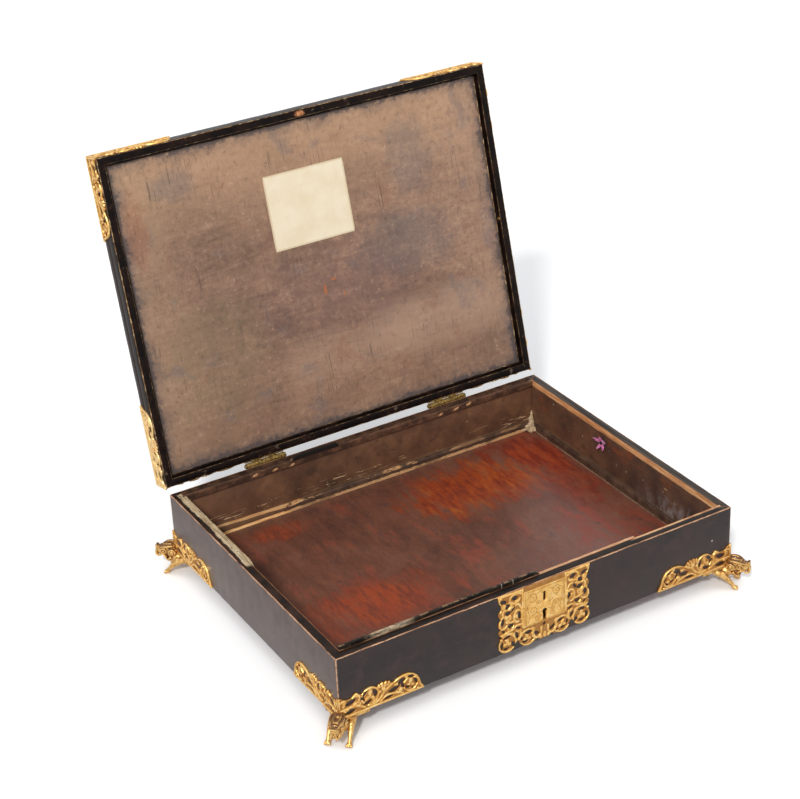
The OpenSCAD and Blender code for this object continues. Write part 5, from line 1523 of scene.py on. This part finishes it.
def nail_set(name, node, body, material, places, last=Matrix.Identity(4)):
    """Copies the nail to every place and joins the copies into one piece."""
    out = Matrix.Translation((0, -HEAD_OUT * MM, 0))
    piece = join(name, [copy_piece(nail, "nail", last @ place @ out) for place in places])
    if last.determinant() < 0:
        turn_out(piece)
    dress(piece, body, "gilt_brass", material)
    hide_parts(node)

mount_nails = []
for fx, fy in CORNERS.values():
    for share, height in LEG_NAILS:
        z = height * MOUNT_H
        mount_nails.append(nail_at(fx * (-HW + share * LEG), -fy * HD, z, 0 if fy > 0 else 180))
        mount_nails.append(nail_at(-fx * HW, fy * (-HD + share * SIDE_LEG), z, -90 if fx > 0 else 90))
nail_set("case_mount_nail_heads", "case_mount_nails", "case", nail_gilt, mount_nails)
nail_set("lid_mount_nail_heads", "lid_mount_nails", "lid", lid_nail_gilt, mount_nails, open_lid @ upside_down)
plate_nails = []
for side in (-1, 1):
    for x, down in ((46, 1.9), (24.2, 20), (46.4, 45.6)):
        plate_nails.append(nail_at(side * x, -HD, WALL_H - PLATE_LOW - down, 0))
nail_set("lock_plate_nail_heads", "lock_plate_nails", "case", nail_gilt, plate_nails)
bpy.data.objects.remove(nail, do_unlink=True)
print("nails", len(mount_nails), "on the case's mounts and as many on the lid's")

# %% Finishes of the hinges and the lock's works
drawn_finishes = {
    "case_leaf_left": old_brass, "case_leaf_right": old_brass, "hinge_pin_left": old_brass,
    "hinge_pin_right": old_brass, "lid_leaf_left": old_brass, "lid_leaf_right": old_brass,
    "case_hinge_nails": old_brass, "lid_hinge_nails": old_brass, "lock_case": dull_brass,
    "lock_cap": dull_brass, "lock_bolt": dark_steel, "key_post": dark_steel, "bolt_spring": dark_steel,
    "foot_screws": dull_brass, "ribbon_tack": dark_steel, "lid_tack": lid_nail_gilt}
for node, material in drawn_finishes.items():
    finish_node(node, material)
print("finishes for", len(drawn_finishes), "pieces that keep their drawn shape")

# %% [markdown]
# ## The feet
# Each foot is the front half of a small beast that creeps out from under the corner: a curled cheek,
# a heavy brow, an upturned nose over an open mouth, and two splayed forelegs whose upper arms run
# back under the case. It is built up like clay, from balls and tapered rolls, melted into one skin
# and trimmed to the flat face of the case. X runs outwards along the corner's diagonal.

# %% Feet
def ball(x, y, z, rx, ry=None, rz=None):
    """A ball or egg of clay, at millimetres from the corner and above the ground."""
    bpy.ops.mesh.primitive_uv_sphere_add(segments=20, ring_count=12, radius=MM)
    piece = bpy.context.object
    piece.scale = (rx, ry or rx, rz or rx)
    piece.location = (x * MM, y * MM, z * MM)
    return settle(piece)

def roll(*points):
    """A tapered roll of clay through points (x, y, z, radius)."""
    return tube("roll", smooth_line(points, 5), 1.0, 3)

def spiral(x, y, z, radius, thickness, side):
    """A curl of the mane that stands out on the cheek."""
    points = []
    for k in range(22):
        t = k / 21
        angle = math.radians(200 - 540 * t)
        r = radius * (1 - 0.82 * t)
        points.append((x + r * math.cos(angle), y + side * 1.3 * t, z + r * math.sin(angle),
                       thickness * (1 - 0.35 * t)))
    return tube("curl", points, 1.0, 3)

def hoop(x, y, z, radius, thickness):
    """A ring that stands upright beside the head, round an eye."""
    points = []
    for k in range(17):
        angle = math.radians(360 * k / 16)
        points.append((x + radius * math.cos(angle), y, z + radius * 0.85 * math.sin(angle), thickness))
    return tube("hoop", points, 1.0, 2)

clay = [ball(-8, 0, 12.5, 6, 7, 5.5), ball(-3, 0, 14, 7, 7.4, 6.6), ball(3.4, 0, 20.6, 6.6, 5.8, 6.6),
        ball(9.4, 0, 21.2, 7.2, 5.2, 6.2), ball(14.6, 0, 20.4, 4.8, 4.0, 5.4),
        ball(17.6, 0, 22.2, 2.7, 3.0, 3.2), ball(18.0, 0, 17.6, 1.8, 2.6, 2.6),
        ball(2.2, 0, 26.8, 3.4, 4.4, 2.4), ball(9.0, 0, 26.2, 3.2, 3.0, 2.4),
        ball(19.0, 0, 24.8, 1.3, 1.2, 1.4)]
clay.append(roll((3.6, 0, 13.4, 3.2), (6.2, 0, 11.0, 2.6), (8.8, 0, 9.4, 2.0), (10.4, 0, 10.2, 1.3),
                 (11.2, 0, 12.4, 0.8)))
clay.append(roll((7, 0, 14.4, 1.6), (10.4, 0, 13.2, 1.2), (12.8, 0, 14.0, 0.7)))
for back, high, wide in ((16.6, 25.4, 2.6), (14.2, 26.2, 3.1), (11.9, 27.4, 3.4)):
    clay.append(roll((back - 0.9, -wide, high - 1.6, 0.5), (back, 0, high, 0.8),
                     (back - 0.9, wide, high - 1.6, 0.5)))
for side in (-1, 1):
    clay += [ball(18.9, side * 1.7, 25.0, 1.4, 1.2, 1.4), ball(19.6, side * 1.5, 22.6, 0.9),
             roll((1.2, side * 4.4, 27.6, 1.2), (5, side * 5.2, 27.4, 1.5), (9.4, side * 5.0, 26.4, 1.7),
                  (13, side * 3.8, 24.8, 1.2), (15.2, side * 2.8, 24.0, 0.7)),
             roll((2.8, side * 2.6, 29.4, 1.0), (6.4, side * 2.8, 28.9, 1.1), (9.8, side * 2.2, 28.0, 0.9),
                  (12.0, side * 1.0, 27.6, 0.5)), ball(10.8, side * 4.4, 21.8, 2.9, 1.5, 2.6),
             hoop(10.8, side * 5.7, 21.8, 2.7, 0.8), ball(10.8, side * 6.0, 21.8, 1.2),
             ball(2.4, side * 4.6, 21.0, 4.0, 1.8, 3.8), spiral(2.4, side * 6.2, 21.2, 3.7, 1.15, side),
             ball(2.4, side * 6.9, 21.2, 1.3),
             roll((19.4, side * 1.4, 20.8, 1.0), (19.8, side * 2.4, 17.6, 1.15),
                  (18.6, side * 2.9, 15.2, 1.05), (16, side * 3.4, 15.4, 0.9),
                  (13.2, side * 4.0, 17.4, 1.0), (10.6, side * 4.7, 16.6, 1.15),
                  (8.4, side * 4.8, 14.2, 0.8)),
             roll((18.4, side * 2.0, 15.4, 0.8), (18.2, side * 1.8, 13.0, 0.3)),
             roll((15.6, side * 2.7, 15.6, 0.7), (15.4, side * 2.6, 13.8, 0.3)),
             roll((9.8, side * 1.9, 10.4, 0.6), (10.0, side * 1.9, 12.8, 0.25)),
             roll((4.0, side * 3.8, 14.4, 1.5), (6.8, side * 3.2, 11.6, 1.2), (9.4, side * 2.0, 10.0, 0.9),
                  (10.8, side * 0.8, 11.4, 0.6)),
             roll((-18, side * 9.0, 18.4, 1.9), (-11, side * 9.0, 16.2, 3.0), (-5, side * 9.0, 13.4, 3.1),
                  (0.4, side * 9.2, 9.4, 2.5), (4.2, side * 9.4, 5.6, 1.9), (6.2, side * 9.5, 3.0, 2.0)),
             ball(-5.4, side * 8.6, 14.2, 4.0, 3.0, 3.4), ball(6.8, side * 9.5, 2.2, 2.4, 2.5, 2.0)]
    for toe, spread in ((-1, -24), (0, 0), (1, 24)):
        turn = math.radians(spread)
        reach = (math.cos(turn), math.sin(turn))
        clay.append(roll((7.2, side * 9.5 + toe * 1.2, 2.4, 1.1),
                          (7.2 + 1.8 * reach[0], side * 9.5 + toe * 1.2 + 1.8 * reach[1], 1.6, 1.15),
                          (7.2 + 3.0 * reach[0], side * 9.5 + toe * 1.2 + 3.0 * reach[1], 0.9, 0.6)))
diagonal = Matrix.Translation(at(-HW, -HD, -FOOT_H)) @ Matrix.Rotation(math.radians(-135), 4, "Z")
for high in ((-HW + 30, -HD + WALL, 0), (-HW + WALL, -HD + 30, 0)):
    flange = block("flange", (-HW, -HD, -3.5), high)
    flange.matrix_world = diagonal.inverted()
    clay.append(settle(flange))
beast = fuse("beast", clay, voxel=0.34, passes=1, keep=0.4)
trim(beast, (0, 0, 0), (0, 0, -1))
print("beast", len(beast.data.polygons), "faces")

# %% Placing the feet
foot = copy_piece(beast, "foot", diagonal)
bpy.data.objects.remove(beast, do_unlink=True)
cut(foot, block("cutter", (-HW - MOUNT_T - 0.1, -HD - MOUNT_T - 0.1, 0), (-HW + 60, -HD + 60, 40)))
round_off(foot, 65)
for place, to_corner in to_corners.items():
    made = copy_piece(foot, "foot_casting_" + place, to_corner)
    dress(made, "case", "gilt_brass", foot_gilt)
    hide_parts("foot_" + place)
bpy.data.objects.remove(foot, do_unlink=True)
print("feet", len(made.data.polygons), "faces each", [round(v / MM, 1) for v in made.dimensions])

# %% [markdown]
# ## The scrap of ribbon
# A silk ribbon once stayed the lid. A torn knot of it is still held by its tack on the right wall.
# It is a small star of cloth: a disc whose rim is pulled out into five torn ends and crumpled.

# %% Ribbon scrap
def silk_finish():
    f = Finish("magenta silk", IOR=1.45)
    f.shader.inputs["Sheen Weight"].default_value = 0.4
    weave = f.cloud(0.5, 3, 0.6)
    fade = f.cloud(4, 4, 0.6)
    f.tone = f.mix(fade.rise(0.35, 0.68), (150, 54, 108), (214, 118, 176))
    f.lay(weave.rise(0.5, 0.7) * 0.5, (232, 176, 220))
    return f.paint(Base_Color=f.tone, Roughness=0.55, Normal=f.relief(weave, 0.12, 0.7))

TACK_Y, TACK_Z, SILK_T = 27.0, 46.0, 0.25
bpy.ops.mesh.primitive_circle_add(vertices=60, radius=MM, fill_type="TRIFAN")
scrap = bpy.context.object
scrap.name = scrap.data.name = "ribbon_star"
edit(scrap, "FACE", lambda f: True, lambda: bpy.ops.mesh.subdivide(number_cuts=5))
for v in scrap.data.vertices:
    angle, reach = math.atan2(v.co.y, v.co.x), Vector((v.co.x, v.co.y)).length / MM
    lobe = 5 * angle / 2 + 0.4
    point = max(0.0, math.cos(lobe)) ** 4 + max(0.0, math.cos(lobe + math.pi)) ** 4
    out = reach * (4.0 + 7.6 * point * (0.75 + 0.35 * math.sin(angle * 2 + 1)))
    crumple = 0.7 * noise.noise(Vector((angle * 2, reach * 3, 2)))
    fold = 0.9 * math.sin(angle * 9) * reach * (1 - 0.4 * reach) + crumple
    v.co = Vector((out * math.cos(angle), out * math.sin(angle), 0.9 + 3.0 * reach * point + fold * 0.6)) * MM
scrap.matrix_world = (Matrix.Translation(at(IN_W - 0.2, TACK_Y, TACK_Z))
                      @ Matrix.Rotation(math.radians(-90), 4, "Y")
                      @ Matrix.Rotation(math.radians(90), 4, "Z"))
settle(scrap)
cloth = scrap.modifiers.new("cloth", "SOLIDIFY")
cloth.thickness, cloth.offset = SILK_T * MM, 0
apply_modifiers(scrap)
pick(scrap)
bpy.ops.object.shade_smooth()
dress(scrap, "case", "silk", silk_finish())
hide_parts("ribbon_scrap")
print("ribbon", len(scrap.data.polygons), "faces")

# %% [markdown]
# ## Old glue in the corner
# A lump of glue and dust sits where the back and right beads meet, with a run of it up the corner.

# %% Old glue
def old_glue():
    f = Finish("old glue", IOR=1.5)
    crumb = f.cloud(2.4, 6, 0.7)
    f.tone = f.ramp(crumb, (0.36, (132, 104, 76)), (0.5, (190, 164, 130)), (0.64, (224, 202, 168)))
    return f.paint(Base_Color=f.tone, Roughness=0.75, Normal=f.relief(crumb, 0.4, 0.9))

lumps = []
for x, y, z, wide, tall in (
        (196.5, 147.0, 11.0, 4.6, 5.0), (192.4, 148.8, 9.4, 3.6, 3.4), (198.2, 142.4, 9.0, 3.0, 3.0),
        (198.0, 149.0, 17.0, 2.8, 5.5), (199.4, 150.0, 23.0, 1.5, 4.0), (188.0, 150.0, 8.2, 2.4, 2.2),
        (195.4, 143.4, 7.4, 3.4, 2.0)):
    bpy.ops.mesh.primitive_uv_sphere_add(segments=20, ring_count=12, radius=MM, location=at(x, y, z),
                                         scale=(wide, wide, tall))
    lumps.append(settle(bpy.context.object))
glue = fuse("glue_lump", lumps, voxel=0.45, passes=2, keep=0.6)
wander(glue, amount=1.1, size=2.2, seed=11.0)
dress(glue, "case", "bare_wood", old_glue())
print("glue", len(glue.data.polygons), "faces")

# %% [markdown]
# ## Table
# The box stands on a white table, which keeps the shadows that the light throws. For the camera the
# open table is lifted to the white of the background, and the ground close under the box is not.

# %% Stage
bpy.ops.mesh.primitive_plane_add(size=24, location=(0, 3, -0.0002))
table = bpy.context.object
table.name = "table"
settle(table)
f = Finish("white table", Roughness=0.9, Specular_IOR_Level=0.1)
open_share = f.node("ShaderNodeAmbientOcclusion", {}, {"Distance": 0.03}, out="AO")
lift = f.node("ShaderNodeMapRange", {}, {0: open_share, 1: 0.5, 2: 0.78, 4: 0.28})
lift = lift * f.node("ShaderNodeLightPath", out="Is Camera Ray")
white = f.paint(Base_Color=(0.96, 0.965, 0.975), Emission_Color=(1.0, 1.0, 1.0), Emission_Strength=lift)
table.data.materials.append(white)
print("table", [round(v, 1) for v in table.dimensions], "m")
